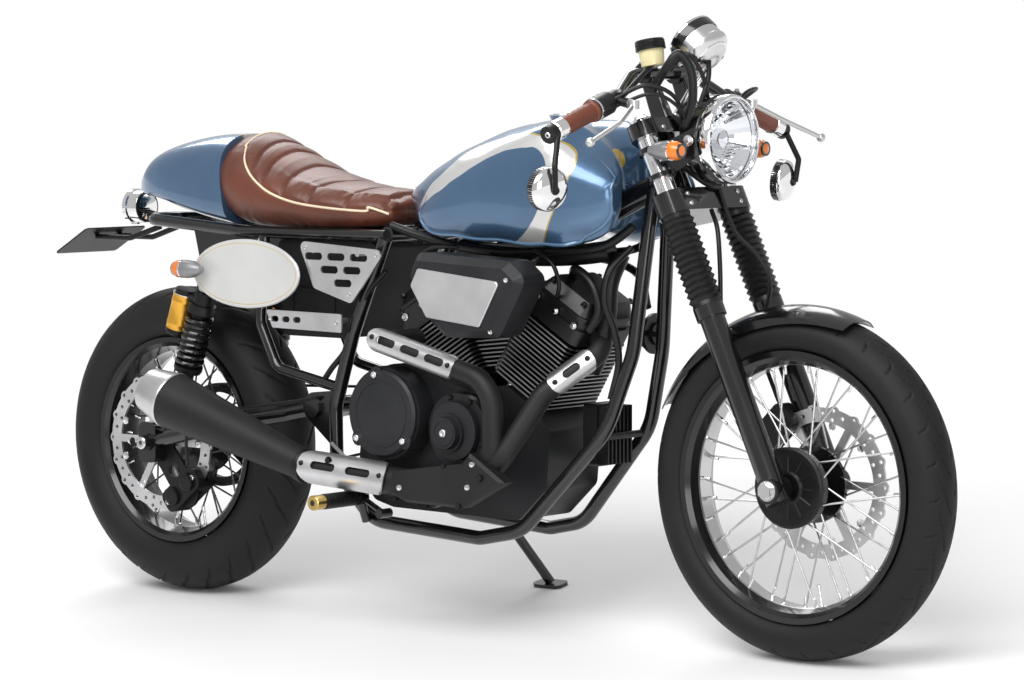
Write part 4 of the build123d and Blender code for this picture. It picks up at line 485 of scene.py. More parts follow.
def paintNodes():
    for finishName, nodeNames in nodeFinishes.items():
        for nodeName in nodeNames:
            paintNode(nodeName, finish(finishName))
    paintNode("front_wheel", wheelMaterial("frontWires", frontAxleAt, 75, 227, (0.62, 0.62, 0.63), 1.0))
    paintNode("rear_wheel", wheelMaterial("rearWires", rearAxleAt, 78, 189, (0.10, 0.10, 0.10), 0.8))
    paintNode("front_cylinder", finMaterial("frontFins", 31))
    paintNode("rear_cylinder", finMaterial("rearFins", -31))
    control = controlMaterial()
    paintNode("hand_control_right", control)
    paintNode("hand_control_left", control)


paintNodes()
print("paint and finishes on the frame's nodes")


# Mesh shapes are point and face lists in the bike's millimetres, and a piece may hold several


def merged(shapes):
    points, faces = [], []
    for shapePoints, shapeFaces in shapes:
        first = len(points)
        points += shapePoints
        faces += [[first + index for index in face] for face in shapeFaces]
    return points, faces


def spun(centre, axis, profile, segments=40):
    # a turned shape: the profile is (distance along the axis, radius)
    along = Vector(axis).normalized()
    side = along.orthogonal().normalized()
    third = along.cross(side)
    points, rings = [], []
    for distance, radius in profile:
        middle = Vector(centre) + along * distance
        count = segments if radius > 0.01 else 1
        rings.append(range(len(points), len(points) + count))
        for number in range(count):
            angle = 2 * pi * number / segments
            points.append(middle + (side * cos(angle) + third * sin(angle)) * radius)
    faces = []
    for low, high in zip(rings, rings[1:]):
        for number in range(segments):
            after = (number + 1) % segments
            corners = [low[number % len(low)], low[after % len(low)],
                       high[after % len(high)], high[number % len(high)]]
            face = list(dict.fromkeys(corners))
            if len(face) > 2:
                faces.append(face)
    return points, faces


def grid(rows, closed=False):
    # a skin over rows of points, joined round at the rows' ends where it is closed
    width = len(rows[0])
    points = [Vector(point) for row in rows for point in row]
    faces = []
    for row in range(len(rows) - 1):
        for column in range(width if closed else width - 1):
            after = (column + 1) % width
            faces.append([row * width + column, row * width + after,
                          (row + 1) * width + after, (row + 1) * width + column])
    return points, faces


def smoothRoute(route, steps=10):
    # a curve through every point of a route
    route = [Vector(point) for point in route]
    ends = [route[0] * 2 - route[1]] + route + [route[-1] * 2 - route[-2]]
    line = []
    for first, start, end, last in zip(ends, ends[1:], ends[2:], ends[3:]):
        for step in range(steps):
            t = step / steps
            line.append(0.5 * (2 * start + (end - first) * t + (2 * first - 5 * start + 4 * end - last) * t**2
                               + (3 * start - first - 3 * end + last) * t**3))
    return line + [route[-1]]


def piped(line, radius, sides=10, capped=True):
    # a round tube along a line of points
    rows = []
    side = None
    for number, point in enumerate(line):
        heading = (line[min(number + 1, len(line) - 1)] - line[max(number - 1, 0)]).normalized()
        side = heading.orthogonal() if side is None else side - heading * side.dot(heading)
        side.normalize()
        third = heading.cross(side)
        size = radius(number / (len(line) - 1)) if callable(radius) else radius
        rows.append([point + (side * cos(2 * pi * turn / sides) + third * sin(2 * pi * turn / sides)) * size
                     for turn in range(sides)])
    points, faces = grid(rows, closed=True)
    if capped:
        faces.append(list(range(sides))[::-1])
        faces.append(list(range(len(points) - sides, len(points))))
    return points, faces


def addPiece(name, shape, look, body, sharp=32):
    # the look is a finish by its name, or a material
    points, faces = shape
    mesh = bpy.data.meshes.new(name)
    mesh.from_pydata([bikeFrame @ (Vector(point) * millimetre) for point in points], [], faces)
    mesh.validate()
    solid = bmesh.new()
    solid.from_mesh(mesh)
    bmesh.ops.recalc_face_normals(solid, faces=solid.faces)
    solid.to_mesh(mesh)
    solid.free()
    mesh.shade_smooth()
    mesh.set_sharp_from_angle(angle=radians(sharp))
    mesh.materials.append(finish(look) if isinstance(look, str) else look)
    piece = bpy.data.objects.new(name, mesh)
    bpy.context.scene.collection.objects.link(piece)
    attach(piece, body)
    return piece


def surfaceOf(*nodeNames):
    # the nodes' surfaces in the bike's millimetres, to set small pieces down on
    points, faces = [], []
    toBike = bikeFrame.inverted()
    for name in nodeNames:
        mesh = frame["nodes"][name].data
        first = len(points)
        points += [toBike @ vertex.co / millimetre for vertex in mesh.vertices]
        faces += [[first + index for index in face.vertices] for face in mesh.polygons]
    return BVHTree.FromPolygons(points, faces)


def landed(surface, start, heading):
    hit = surface.ray_cast(Vector(start), Vector(heading).normalized())
    return hit[0] if hit[0] is not None else surface.find_nearest(Vector(start))[0]


def hexBolt(centre, axis, radius=6, height=5):
    washer = spun(centre, axis, [(-1, 0), (-1, radius * 1.35), (1, radius * 1.35), (1, 0)], 20)
    head = spun(centre, axis, [
        (1, radius), (height - 1, radius), (height, radius * 0.82), (height, 0),
    ], 6)
    return merged([washer, head])


def socketBolt(centre, axis, radius=6, height=6):
    return spun(centre, axis, [
        (-2, radius), (height - 1, radius), (height, radius * 0.85), (height, radius * 0.5),
        (height * 0.4, radius * 0.5), (height * 0.4, 0),
    ], 18)


def rivet(centre, axis, radius=5, height=2.5):
    return spun(centre, axis, [
        (-2, radius), (0, radius), (height * 0.7, radius * 0.75), (height, radius * 0.3), (height, 0),
    ], 16)


def addCable(name, route, radius, body, finishName="hoseRubber"):
    addPiece(name, piped(smoothRoute(route), radius, 12), finishName, body)


# Tyres: the frame's section drawn finely, with grooves cut into the tread
tyres = {  # a hook: where it starts and ends across the tread, its shift, slant and bend along it
    "front": {
        "node": "front_tyre", "body": "front_wheel", "axle": frontAxleAt,
        "radius": 326, "width": 102, "crown": 54, "bead": 241, "inside": 76,
        "pitches": 30, "halfGroove": 2.3, "grooveDepth": 3.4,
        "hooks": [(0.05, 0.62, 0.0, 0.75, 0.5), (0.55, 0.92, 0.55, -0.35, 0.2)],
    },
    "rear": {
        "node": "rear_tyre", "body": "rear_wheel", "axle": rearAxleAt,
        "radius": 321, "width": 150, "crown": 80, "bead": 203, "inside": 112,
        "pitches": 28, "halfGroove": 2.7, "grooveDepth": 4.0,
        "hooks": [(0.04, 0.74, 0.0, 1.1, -0.3), (0.42, 0.96, 0.5, 0.7, 0.1)],
    },
}
crownEdge = radians(62)
roundSteps = 840
treadColumns = 46


def arcThrough(start, middle, end, count):
    # points of the circle through three (y, radius) points
    (ax, ay), (bx, by), (cx, cy) = start, middle, end
    d = 2 * (ax * (by - cy) + bx * (cy - ay) + cx * (ay - by))
    sa, sb, sc = ax * ax + ay * ay, bx * bx + by * by, cx * cx + cy * cy
    ux = (sa * (by - cy) + sb * (cy - ay) + sc * (ay - by)) / d
    uy = (sa * (cx - bx) + sb * (ax - cx) + sc * (bx - ax)) / d
    first = atan2(ay - uy, ax - ux)
    turn = (atan2(cy - uy, cx - ux) - first + pi) % (2 * pi) - pi
    size = hypot(ax - ux, ay - uy)
    return [(ux + size * cos(first + turn * n / count), uy + size * sin(first + turn * n / count))
            for n in range(count + 1)]


def grooveDepth(tyre, across, share, pitch):
    # hooks that leave the middle and lean over to the shoulder
    depth = 0
    for start, end, shift, slant, hook in tyre["hooks"]:
        if start < across < end:
            t = (across - start) / (end - start)
            gap = abs((share - shift - slant * t - hook * t * t + 0.5) % 1 - 0.5) * pitch
            fade = min(t, 1 - t) * 8
            depth = max(depth, min(max(1.5 - gap / tyre["halfGroove"], 0), 1) * min(fade, 1))
    return depth * tyre["grooveDepth"]


def addTyre(name, tyre):
    crown, radius, width = tyre["crown"], tyre["radius"], tyre["width"]
    edge = (crown * sin(crownEdge), radius - crown + crown * cos(crownEdge))
    lip = (tyre["inside"] / 2 - 0.3, tyre["bead"] + 14)
    wall = (width / 2, (edge[1] + lip[1] - 1) / 2 + 2)
    rightWall = [(-y, r) for y, r in arcThrough(lip, wall, edge, 12)]
    tread = arcThrough((-edge[0], edge[1]), (0, radius), edge, treadColumns)
    section = rightWall[:-1] + tread + arcThrough(lip, wall, edge, 12)[::-1][1:]
    pitch = 2 * pi * radius / tyre["pitches"]
    rows = []
    for step in range(roundSteps):
        angle = 2 * pi * step / roundSteps
        row = []
        for y, r in section:
            cut = 0
            across = abs(y) / edge[0]
            if r > edge[1] and across < 1:
                mirrorShift = 0.5 if y < 0 else 0
                share = (angle / (2 * pi) * tyre["pitches"] + mirrorShift) % 1
                cut = grooveDepth(tyre, across, share, pitch)
            ribs = 0.5 if abs(r - edge[1] + 12) < 2.2 or abs(r - lip[1] - 9) < 1.6 else 0
            size = r - cut - ribs
            row.append(tyre["axle"] + Vector((size * cos(angle), y, size * sin(angle))))
        rows.append(row)
    rows.append(rows[0])
    points, faces = grid(rows)
    count = len(section)
    last = roundSteps * count
    faces = [[index - last if index >= last else index for index in face] for face in faces]
    shape = (points[:last], faces)
    piece = addPiece(name, shape, "tyreRubber", tyre["body"], sharp=50)
    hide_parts(tyre["node"])


for end, tyre in tyres.items():
    addTyre(end + "TyreTread", tyre)
print("tyres with tread")

# Spoke nipples at the rims, bolts of the discs and hubs, valve stems
wheelTrim = {
    "front": {"axle": frontAxleAt, "body": "front_wheel", "well": 226, "discY": 62, "discSide": 1},
    "rear": {"axle": rearAxleAt, "body": "rear_wheel", "well": 188, "discY": -96, "discSide": -1},
}
spokes = 36


def around(centre, radius, count, shift=0.0):
    # evenly spaced places on a circle about the wheel axis
    angles = [2 * pi * (number + shift) / count for number in range(count)]
    return [centre + Vector((radius * cos(angle), 0, radius * sin(angle))) for angle in angles]


def addWheelTrim(name, wheel):
    nipples = []
    profile = [(0, 4), (5, 4), (7, 3), (20, 2.8), (21, 2.2)]
    for number, foot in enumerate(around(wheel["axle"], wheel["well"] + 4, spokes)):
        outward = (foot - wheel["axle"]).normalized()
        inset = (8 if (number // 2) % 2 else 14) * (1 if number % 2 else -1)
        nipples.append(spun(foot + leftAxis * inset, -outward, profile, 10))
    stem = Vector((cos(4.9), 0, sin(4.9)))
    valve = wheel["axle"] + stem * (wheel["well"] + 2)
    profile = [(0, 5), (6, 5), (7, 3), (30, 3), (31, 4), (42, 4), (43, 3), (43, 0)]
    nipples.append(spun(valve, -stem, profile, 12))
    addPiece(name + "SpokeNipples", merged(nipples), "chrome", wheel["body"])
    facing = leftAxis * wheel["discSide"]
    face = wheel["axle"] + leftAxis * wheel["discY"] + facing * 2.5
    bolts = [socketBolt(spot, facing, 5, 5) for spot in around(face, 37, 6, 0.5)]
    profile = [(-1, 8), (1.6, 8), (2.4, 6), (2.4, 3), (1, 3), (1, 0)]
    bolts += [spun(spot, facing, profile, 16) for spot in around(face, 109, 9)]
    addPiece(name + "DiscBolts", merged(bolts), "polishedSteel", wheel["body"])


for end, wheel in wheelTrim.items():
    addWheelTrim(end, wheel)

# Big drum on the right of the front hub: stepped cover with ribs and a bright axle nut
frontHub = {"faceY": -48, "ribs": 12, "nutY": -118}


def addFrontHub():
    centre = frontAxleAt + Vector((0, frontHub["faceY"], 0))
    profile = [(-3, 76), (2, 76), (5, 72), (5, 60), (3, 56), (3, 32), (7, 28), (7, 0)]
    cover = spun(centre, -leftAxis, profile, 64)
    foot = centre - leftAxis * 3
    ends = zip(around(foot, 30, frontHub["ribs"]), around(foot, 58, frontHub["ribs"]))
    ribs = [piped([inner, outer], 2.2, 6) for inner, outer in ends]
    addPiece("frontHubCover", merged([cover] + ribs), "satinBlack", "front_wheel")
    face = frontAxleAt + leftAxis * frontHub["nutY"]
    nut = [hexBolt(face, -leftAxis, 12, 10), spun(face, -leftAxis, [(-2, 19), (1.5, 19), (1.5, 0)], 32)]
    addPiece("frontAxleNut", merged(nut), "polishedSteel", "steering")


addFrontHub()


def addRearAxleNuts():
    shapes = []
    for side in (-1, 1):
        face = rearAxleAt + leftAxis * side * 156
        shapes.append(spun(face, leftAxis * side, [(-1, 13), (1, 13), (3, 10), (3, 5), (0, 5), (0, 0)], 24))
        block = rearAxleAt + leftAxis * side * 139 + Vector((-44, 0, 0))
        shapes.append(hexBolt(block, Vector((-1, 0, 0)), 6, 8))
    addPiece("rearAxleNuts", merged(shapes), "polishedSteel", "chassis")


addRearAxleNuts()
print("wheel trim")

# Headlight: the frame's shell and lens become an open bowl, a faceted reflector and clear glass
headlight = {"depth": 52, "facets": 40, "bulb": 15, "opening": 76.5}


def addHeadlight():
    ahead = Vector((1, 0, 0))
    shell = spun(lensAt, ahead, [
        (-93, 0), (-92, 18), (-84, 44), (-70, 64), (-54, 76), (-42, 80), (-17, 80.4), (-13, 84), (-1, 84.4),
        (4, 83), (7, 80), (6, 77.5), (0, 76.5), (-6, 76.5), (-6, 70),
    ], 96)
    bowl = addPiece("headlightBowl", shell, "chrome", "steering")
    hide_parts("headlight_shell")
    profile = []
    for ring in range(7):
        share = ring / 6
        radius = headlight["bulb"] + (headlight["opening"] - headlight["bulb"]) * share
        profile.append((-8 - headlight["depth"] * (1 - share**1.7), radius))
    faceted = spun(lensAt, ahead, profile, headlight["facets"])
    addPiece("headlightReflector", faceted, "mirrorGlass", "steering", sharp=4)
    cap = spun(lensAt, ahead, [
        (-60, 16), (-56, 16), (-56, 8), (-40, 8), (-40, 15), (-34, 20), (-26, 20.5), (-19, 17), (-15, 9),
        (-14, 0),
    ], 36)
    bars = [piped([lensAt + Vector((-22, side * 18, -6)), lensAt + Vector((-12, side * 68, -14))], 1.6, 6)
            for side in (-1, 1)]
    addPiece("headlightBulbShield", merged([cap] + bars), "chrome", "steering")
    material, tree, shader = newMaterial("headlightGlass")
    addGrain(tree, shader, 9, 0.05)
    setSockets(tree, shader, {
        "Base Color": (0.97, 0.98, 1, 1), "Roughness": 0.02, "IOR": 1.35, "Transmission Weight": 1,
    })
    glass = spun(lensAt, ahead, [
        (0, 76), (3, 74), (6.5, 56), (8.4, 30), (9, 0), (7, 0), (6.4, 30), (4.5, 56), (1, 72), (-2, 75),
        (0, 76),
    ], 96)
    lens = addPiece("headlightGlass", glass, material, "steering")
    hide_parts("headlight_lens")
    screws = []
    for side in (-1, 1):
        spot = lensAt + Vector((-30, side * 97, -2))
        screws.append(hexBolt(spot, leftAxis * side, 8, 7))
    lowScrew = lensAt + Vector((-8, 0, -84))
    screws.append(socketBolt(lowScrew, Vector((0, 0, -1)), 4, 4))
    addPiece("headlightBolts", merged(screws), "polishedSteel", "steering")


addHeadlight()

# Bullet indicators: silver-grey body, amber lens over the wide end, a thin bright ring between
indicator = {"bodyProfile": [(-43.5, 0), (-43, 5), (-40, 9), (-34, 11), (-20, 16.8), (0, 18.8), (10, 17.6)],
             "lensProfile": [(9, 17.4), (14, 18.2), (24, 17.4), (31, 14.5), (34.5, 9), (35.5, 0)]}
indicatorPlaces = [
    # end, left one's centre, wide end's way, body
    ("Front", lensAt + Vector((-50, 134, -20)), 1, "steering"),
    ("Rear", Vector((166, 188, 692)), -1, "chassis"),
]


def addIndicators():
    for end, place, facing, body in indicatorPlaces:
        for side, name in sides:
            centre, axis = onSide(place, side), Vector((facing, 0, 0))
            can = spun(centre, axis, indicator["bodyProfile"], 32)
            addPiece("indicatorBody" + end + name, can, "paleGrey", body)
            lens = spun(centre, axis, indicator["lensProfile"], 32)
            addPiece("indicatorLens" + end + name, lens, "amberLens", body)
            ring = spun(centre, axis, [(8, 17), (8, 18.7), (11, 18.7), (11, 17)], 32)
            addPiece("indicatorRing" + end + name, ring, "chrome", body)


addIndicators()
print("headlight and indicators")

# Speedometer: bezel, dial with ticks and a needle, stepped silver can
speedometer = {"centre": frontAxleAt + Vector((-252, 0, 823)), "tilt": radians(38),
               "ticks": 41, "sweep": radians(240)}


def addSpeedometer():
    facing = Vector((-cos(speedometer["tilt"]), 0, sin(speedometer["tilt"])))
    centre = speedometer["centre"]
    bezel = spun(centre, facing, [
        (-4, 48.5), (-4, 49.6), (0, 50.1), (12, 50.1), (17, 49.6), (19, 47), (17.5, 44.5), (13, 44), (13, 40),
    ], 72)
    addPiece("speedometerBezel", bezel, "glossBlack", "steering")
    can = spun(centre, -facing, [
        (3, 47.6), (26, 47.6), (28, 49), (33, 49), (36, 47), (46, 37), (49, 30), (49.5, 0),
    ], 72)
    addPiece("speedometerCan", can, "polishedSteel", "steering")
    face = spun(centre, facing, [(16.2, 0), (16.3, 44), (12, 44.2)], 72)
    addPiece("speedometerFace", face, "dialFace", "steering")
    up = leftAxis.cross(facing)
    marks = []
    for tick in range(speedometer["ticks"]):
        angle = speedometer["sweep"] * (tick / (speedometer["ticks"] - 1) - 0.5)
        outward = up * cos(angle) + leftAxis * sin(angle)
        reach = 8 if tick % 5 == 0 else 4
        start = centre + facing * 16.5 + outward * 41
        marks.append(piped([start, start - outward * reach], 0.6 if tick % 5 else 0.9, 4))
    pointer = up * cos(1.9) + leftAxis * sin(1.9)
    marks.append(piped([centre + facing * 17, centre + facing * 17 + pointer * 33], 0.9, 5))
    marks.append(spun(centre, facing, [(16.3, 5), (18.4, 5), (18.6, 0)], 20))
    addPiece("speedometerMarks", merged(marks), "dialWhite", "steering")


addSpeedometer()

# Grips with fine ribs and bright end rings, bar-end arms with domed mirror shells
bar = {"knee": frontAxleAt + Vector((-308, 165, 721)), "end": frontAxleAt + Vector((-312, 366, 653)),
       "gripFrom": 82, "gripRadius": 17.6, "ribs": 30}
mirror = {"centre": frontAxleAt + Vector((-318, 372, 553)), "radius": 41, "rise": 18}


def addGrips():
    out = (bar["end"] - bar["knee"]).normalized()
    for side, name in sides:
        start = onSide(bar["knee"] + out * bar["gripFrom"], side)
        axis = onSide(out, side)
        profile = [(-1, 18), (-1, 21), (4, 21.2), (6, 18)]
        for rib in range(bar["ribs"]):
            along = 6 + rib * 2.9
            profile += [(along + 0.5, bar["gripRadius"]), (along + 2.2, bar["gripRadius"]),
                        (along + 2.5, bar["gripRadius"] - 0.7), (along + 2.9, bar["gripRadius"] - 0.7)]
        profile.append((94, 17.2))
        addPiece("gripSleeve" + name, spun(start, axis, profile, 48), "brownGrip", "steering")
        ring = spun(start, axis, [
            (92, 17), (93, 19.2), (98, 19.6), (104, 19.2), (112, 19.6), (117, 19.4), (119, 17.8), (119, 12),
        ], 48)
        collar = spun(start, axis, [(-7, 17), (-6.5, 22.6), (-2.5, 22.6), (-1.5, 19)], 48)
        addPiece("gripRing" + name, merged([ring, collar]), "chrome", "steering")
        plug = socketBolt(start + axis * 133.3, axis, 6, 4)
        addPiece("barEndScrew" + name, plug, "polishedSteel", "steering")


def addMirrors():
    for side, name in sides:
        facing = Vector((-1, -side * 0.22, 0.12)).normalized()
        back = onSide(mirror["centre"], side) + Vector((10, 0, 0))
        size, rise = mirror["radius"], mirror["rise"]
        dome = [(14, size - 1), (13, size), (0, size)]
        for step in range(1, 13):
            angle = pi / 2 * step / 12
            dome.append((-rise * sin(angle), size * cos(angle)))
        addPiece("mirrorShell" + name, spun(back, facing, dome, 64), "chrome", "steering")
        glass = spun(back, facing, [(14.4, 0), (14.3, size - 3), (13.6, size - 1.5)], 64)
        addPiece("mirrorGlass" + name, glass, "mirrorGlass", "steering")
        knob = spun(back + facing * -14, -facing, [(0, 9), (5, 8.5), (9, 6), (10, 0)], 24)
        addPiece("mirrorKnuckle" + name, knob, "satinBlack", "steering")


addGrips()
addMirrors()
print("bars, grips and mirrors")

# Tank and tail cowl: smooth skins for the frame's lofts, which only have a few sections
tank = {
    "middle": Vector((960, 0, 880)), "half": 158, "edgeY": 130, "roundness": 3,
    "crest": [  # outline in the middle plane: angle about the middle, distance
        (-174, 322), (-164, 268), (-144, 136), (-63, 92), (-27, 179), (-4, 183), (21, 178), (56, 146),
        (81, 120), (112, 117), (145, 144), (166, 202), (179, 272),
    ],
    "flank": [  # outline near the side, where the seam runs
        (-170, 204), (-163, 226), (-154, 216), (-138, 154), (-97, 110), (-53, 143), (-33, 203), (-21, 248),
        (-12, 268), (-1, 277), (8, 278), (15, 268), (26, 228), (38, 176), (66, 104), (100, 78), (136, 84),
        (165, 130), (178, 172),
    ],
    "rounds": 120, "layers": 26, "lip": 3.6,
}
cowl = {
    "roundness": 2.5, "steps": 60, "rounds": 72,
    "waist": 0.42,  # height of the widest line, as a share
    "rakeBack": 0.14, "rakeFrom": 880,
    "stations": [  # x, bottom, top, half width
        (-106, 846, 854, 10), (-103, 842, 863, 34), (-91, 837, 877, 60), (-67, 833, 902, 80),
        (-38, 830, 925, 95), (2, 823, 941, 106), (55, 808, 954, 113), (111, 795, 963, 118),
        (160, 786, 967, 121), (196, 780, 967, 123),
    ],
}


def roundTable(table, angle):
    # a value between the nearest rows of a table that goes all the way round
    rows = [(turn - 360, value) for turn, value in table[-2:]] + list(table)
    rows += [(turn + 360, value) for turn, value in table[:3]]
    for number in range(1, len(rows) - 2):
        (a0, v0), (a1, v1), (a2, v2), (a3, v3) = rows[number - 1:number + 3]
        if a1 <= angle <= a2:
            t = (angle - a1) / (a2 - a1)
            m1 = (v2 - v0) / (a2 - a0) * (a2 - a1)
            m2 = (v3 - v1) / (a3 - a1) * (a2 - a1)
            return ((2 * t**3 - 3 * t**2 + 1) * v1 + (t**3 - 2 * t**2 + t) * m1
                    + (3 * t**2 - 2 * t**3) * v2 + (t**3 - t**2) * m2)
    return rows[-1][1]


def tankPoint(angle, y):
    power = tank["roundness"]
    full = (1 - (tank["edgeY"] / tank["half"])**power)**(1 / power)
    fill = max(1 - (abs(y) / tank["half"])**power, 0)**(1 / power)
    toFlank = min(abs(y) / tank["edgeY"], 1)**1.9
    reach = roundTable(tank["crest"], angle) * (1 - toFlank)
    reach += roundTable(tank["flank"], angle) / full * toFlank
    turn = radians(angle)
    return tank["middle"] + Vector((reach * fill * cos(turn), y, reach * fill * sin(turn)))


def keptClear(point, surface):
    # the front stays by the frame's own tank, which the turned fork is known to clear
    near, normal, _, _ = surface.find_nearest(point)
    above = (point - near).dot(normal)
    allowed = 1.5 + max(1130 - point.x, 0) * 0.5
    return near + normal * allowed if above > allowed else point


def addTank():
    rows = []
    own = surfaceOf("fuel_tank")
    layers = tank["layers"]
    for layer in range(-layers, layers + 1):
        y = tank["half"] * sin(pi / 2 * layer / layers)
        angles = [-180 + 360 * step / tank["rounds"] for step in range(tank["rounds"])]
        rows.append([keptClear(tankPoint(angle, y), own) for angle in angles])
    paint = stripedPaint("tankPaint", tankMasks)
    skin = addPiece("tankSkin", grid(rows, closed=True), paint, "chassis", sharp=80)
    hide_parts("fuel_tank")
    seams = []
    for side in (-1, 1):
        line = [keptClear(tankPoint(angle, side * tank["edgeY"]), own) for angle in range(-172, 22, 3)]
        seams.append(piped(line, lambda share: tank["lip"] * min(1, 8 * share, 8 * (1 - share)) + 0.3, 10))
    addPiece("tankSeam", merged(seams), "tankLip", "chassis")


def curvedRow(table, share):
    # a smooth curve through the rows of a table, from 0 at the first row to 1 at the last
    place = share * (len(table) - 1)
    low = min(int(place), len(table) - 2)
    near = [table[min(max(low + shift, 0), len(table) - 1)] for shift in (-1, 0, 1, 2)]
    t = place - low
    return [0.5 * (2 * b + (c - a) * t + (2 * a - 5 * b + 4 * c - d) * t**2 + (3 * b - a - 3 * c + d) * t**3)
            for a, b, c, d in zip(*near)]


def addCowl():
    rows = []
    rounds = cowl["rounds"]
    for step in range(cowl["steps"] + 1):
        share = step / cowl["steps"]
        x, bottom, top, half = curvedRow(cowl["stations"], share)
        waist = bottom + (top - bottom) * cowl["waist"]
        row = []
        for turn in range(rounds):
            across, rise = cos(2 * pi * turn / rounds), sin(2 * pi * turn / rounds)
            bend = (2 if rise > 0 else 1) / cowl["roundness"]  # boxier below its waist
            y = half * abs(across)**bend * (1 if across > 0 else -1)
            z = waist + abs(rise)**bend * (top - waist if rise > 0 else bottom - waist)
            row.append(Vector((x - (z - cowl["rakeFrom"]) * cowl["rakeBack"] * share, y, z)))
        rows.append(row)
    points, faces = grid(rows, closed=True)
    faces.append(list(range(rounds)))
    faces.append(list(range(len(points) - rounds, len(points))))
    paint = stripedPaint("cowlPaint", cowlMasks)
    skin = addPiece("cowlSkin", (points, faces), paint, "chassis", sharp=60)
    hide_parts("tail_cowl")


addTank()
addCowl()
print("tank and tail cowl")

# Seat: the frame's block swollen by a cloth simulation, then ribs, seams and piping
seatLook = {
    "voxel": 0.006, "shrink": 0.0045, "pressure": 4.0, "frames": 20, "cap": 0.008,
    "ribs": [266, 304, 362, 446, 532, 612],  # cross seams, by their x
    "ribDepth": 5.0, "ribWidth": 3.2, "roll": 3.0,
    "piping": [  # along the right side, front to rear: x, z
        (690, 826), (640, 819), (570, 817), (490, 822), (409, 832), (340, 852), (285, 882), (250, 912),
        (232, 940),
    ],
    "pipingRadius": 2.6,
}


def seatBase():
    source = frame["nodes"]["seat"]
    mesh = source.data.copy()
    piece = bpy.data.objects.new("seatPad", mesh)
    bpy.context.scene.collection.objects.link(piece)
    middle = at(420, 0, 850)
    for vertex in mesh.vertices:
        away = vertex.co - middle
        vertex.co -= away.normalized() * seatLook["shrink"]
    mesh.materials.clear()
    remesh = piece.modifiers.new("even", "REMESH")
    remesh.mode = "VOXEL"
    remesh.voxel_size = seatLook["voxel"]
    applyAll(piece)
    return piece


def applyAll(piece):
    bpy.context.view_layer.update()
    shape = bpy.data.meshes.new_from_object(piece.evaluated_get(bpy.context.evaluated_depsgraph_get()))
    piece.modifiers.clear()
    piece.data = shape


def swell(piece):
    start = [vertex.co.copy() for vertex in piece.data.vertices]
    cloth = piece.modifiers.new("swell", "CLOTH")
    cloth.settings.quality = 5
    cloth.settings.use_pressure = True
    cloth.settings.uniform_pressure_force = seatLook["pressure"]
    cloth.settings.effector_weights.gravity = 0
    cloth.collision_settings.use_collision = False
    scene = bpy.context.scene
    for number in range(1, seatLook["frames"] + 1):
        scene.frame_set(number)
    swollen = piece.evaluated_get(bpy.context.evaluated_depsgraph_get()).data
    moved = [vertex.co.copy() for vertex in swollen.vertices]
    piece.modifiers.clear()
    scene.frame_set(1)
    for vertex, before, after in zip(piece.data.vertices, start, moved):
        step = after - before
        if step.length > seatLook["cap"]:
            step = step.normalized() * seatLook["cap"]
        vertex.co = before + step


def pipingHeight(x):
    line = seatLook["piping"]
    if x >= line[0][0]:
        return line[0][1]
    for (x1, z1), (x2, z2) in zip(line, line[1:]):
        if x2 <= x <= x1:
            return z2 + (z1 - z2) * (x - x2) / (x1 - x2)
    return line[-1][1]


def sewRibs(piece):
    # cross seams sink into the top panel, and a shallow groove runs under the piping
    toBike = bikeFrame.inverted()
    for vertex, normal in [(v, v.normal.copy()) for v in piece.data.vertices]:
        place = toBike @ vertex.co / millimetre
        edge = pipingHeight(place.x)
        inside = min(max((place.z - edge) / 10, 0), 1)
        sink = 0
        if place.x > 226:
            lean = place.x - 0.10 * abs(place.y) * (1 if place.x < 420 else -0.4)
            gap = min(abs(lean - rib) for rib in seatLook["ribs"])
            groove = seatLook["ribDepth"] / (1 + (gap / seatLook["ribWidth"])**2)
            sink = (groove - seatLook["roll"] * min(gap / 30, 1)) * inside
        seam = abs(place.z - edge) if place.x > 240 else 99
        sink += 1.8 * max(0, 1 - seam / 6)
        vertex.co -= normal * sink * millimetre


def leatherMaterial():
    material, tree, shader = newMaterial("brownLeather")
    addPatches(tree, shader, (0.105, 0.024, 0.009), 0.25, 0.42)
    place = objectPlace(tree)
    cells = addNode(tree, "TexVoronoi", {"Vector": place, "Scale": 520}, feature="DISTANCE_TO_EDGE")
    creases = addNode(tree, "TexNoise", {"Vector": place, "Scale": 45, "Detail": 6, "Distortion": 0.6})
    height = mathNode(tree, "MULTIPLY_ADD", creases.outputs["Fac"], 0.6, cells.outputs["Distance"])
    addBump(tree, shader, height, 0.35, 0.0006)
    setSockets(tree, shader, {"Sheen Weight": 0.05, "Coat Weight": 0.06, "Coat Roughness": 0.25})
    return material


def addSeat():
    piece = seatBase()
    swell(piece)
    piece.modifiers.new("finer", "SUBSURF").levels = 1
    applyAll(piece)
    sewRibs(piece)
    piece.data.shade_smooth()
    piece.data.materials.append(leatherMaterial())
    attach(piece, "chassis")
    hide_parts("seat")
    return piece


def addPiping(seat):
    toBike = bikeFrame.inverted()
    points = [toBike @ (seat.matrix_world @ vertex.co) / millimetre for vertex in seat.data.vertices]
    skin = BVHTree.FromPolygons(points, [list(face.vertices) for face in seat.data.polygons])
    side = [landed(skin, (x, -260, z), (0, 1, 0)) for x, z in seatLook["piping"]]
    over = [landed(skin, (228, y, 1060), (0, 0, -1)) for y in (-76, -40, 0)]
    half = side + over
    route = half + [onSide(point, -1) for point in half[:-1]][::-1]
    shape = piped(smoothRoute(route, 8), seatLook["pipingRadius"], 8)
    addPiece("seatPiping", shape, "creamPiping", "chassis")


seatPad = addSeat()
addPiping(seatPad)
print("seat")

# Ring round the fuel cap, and the lock on the cap
fillerAt = Vector((1010, 0, 1008))


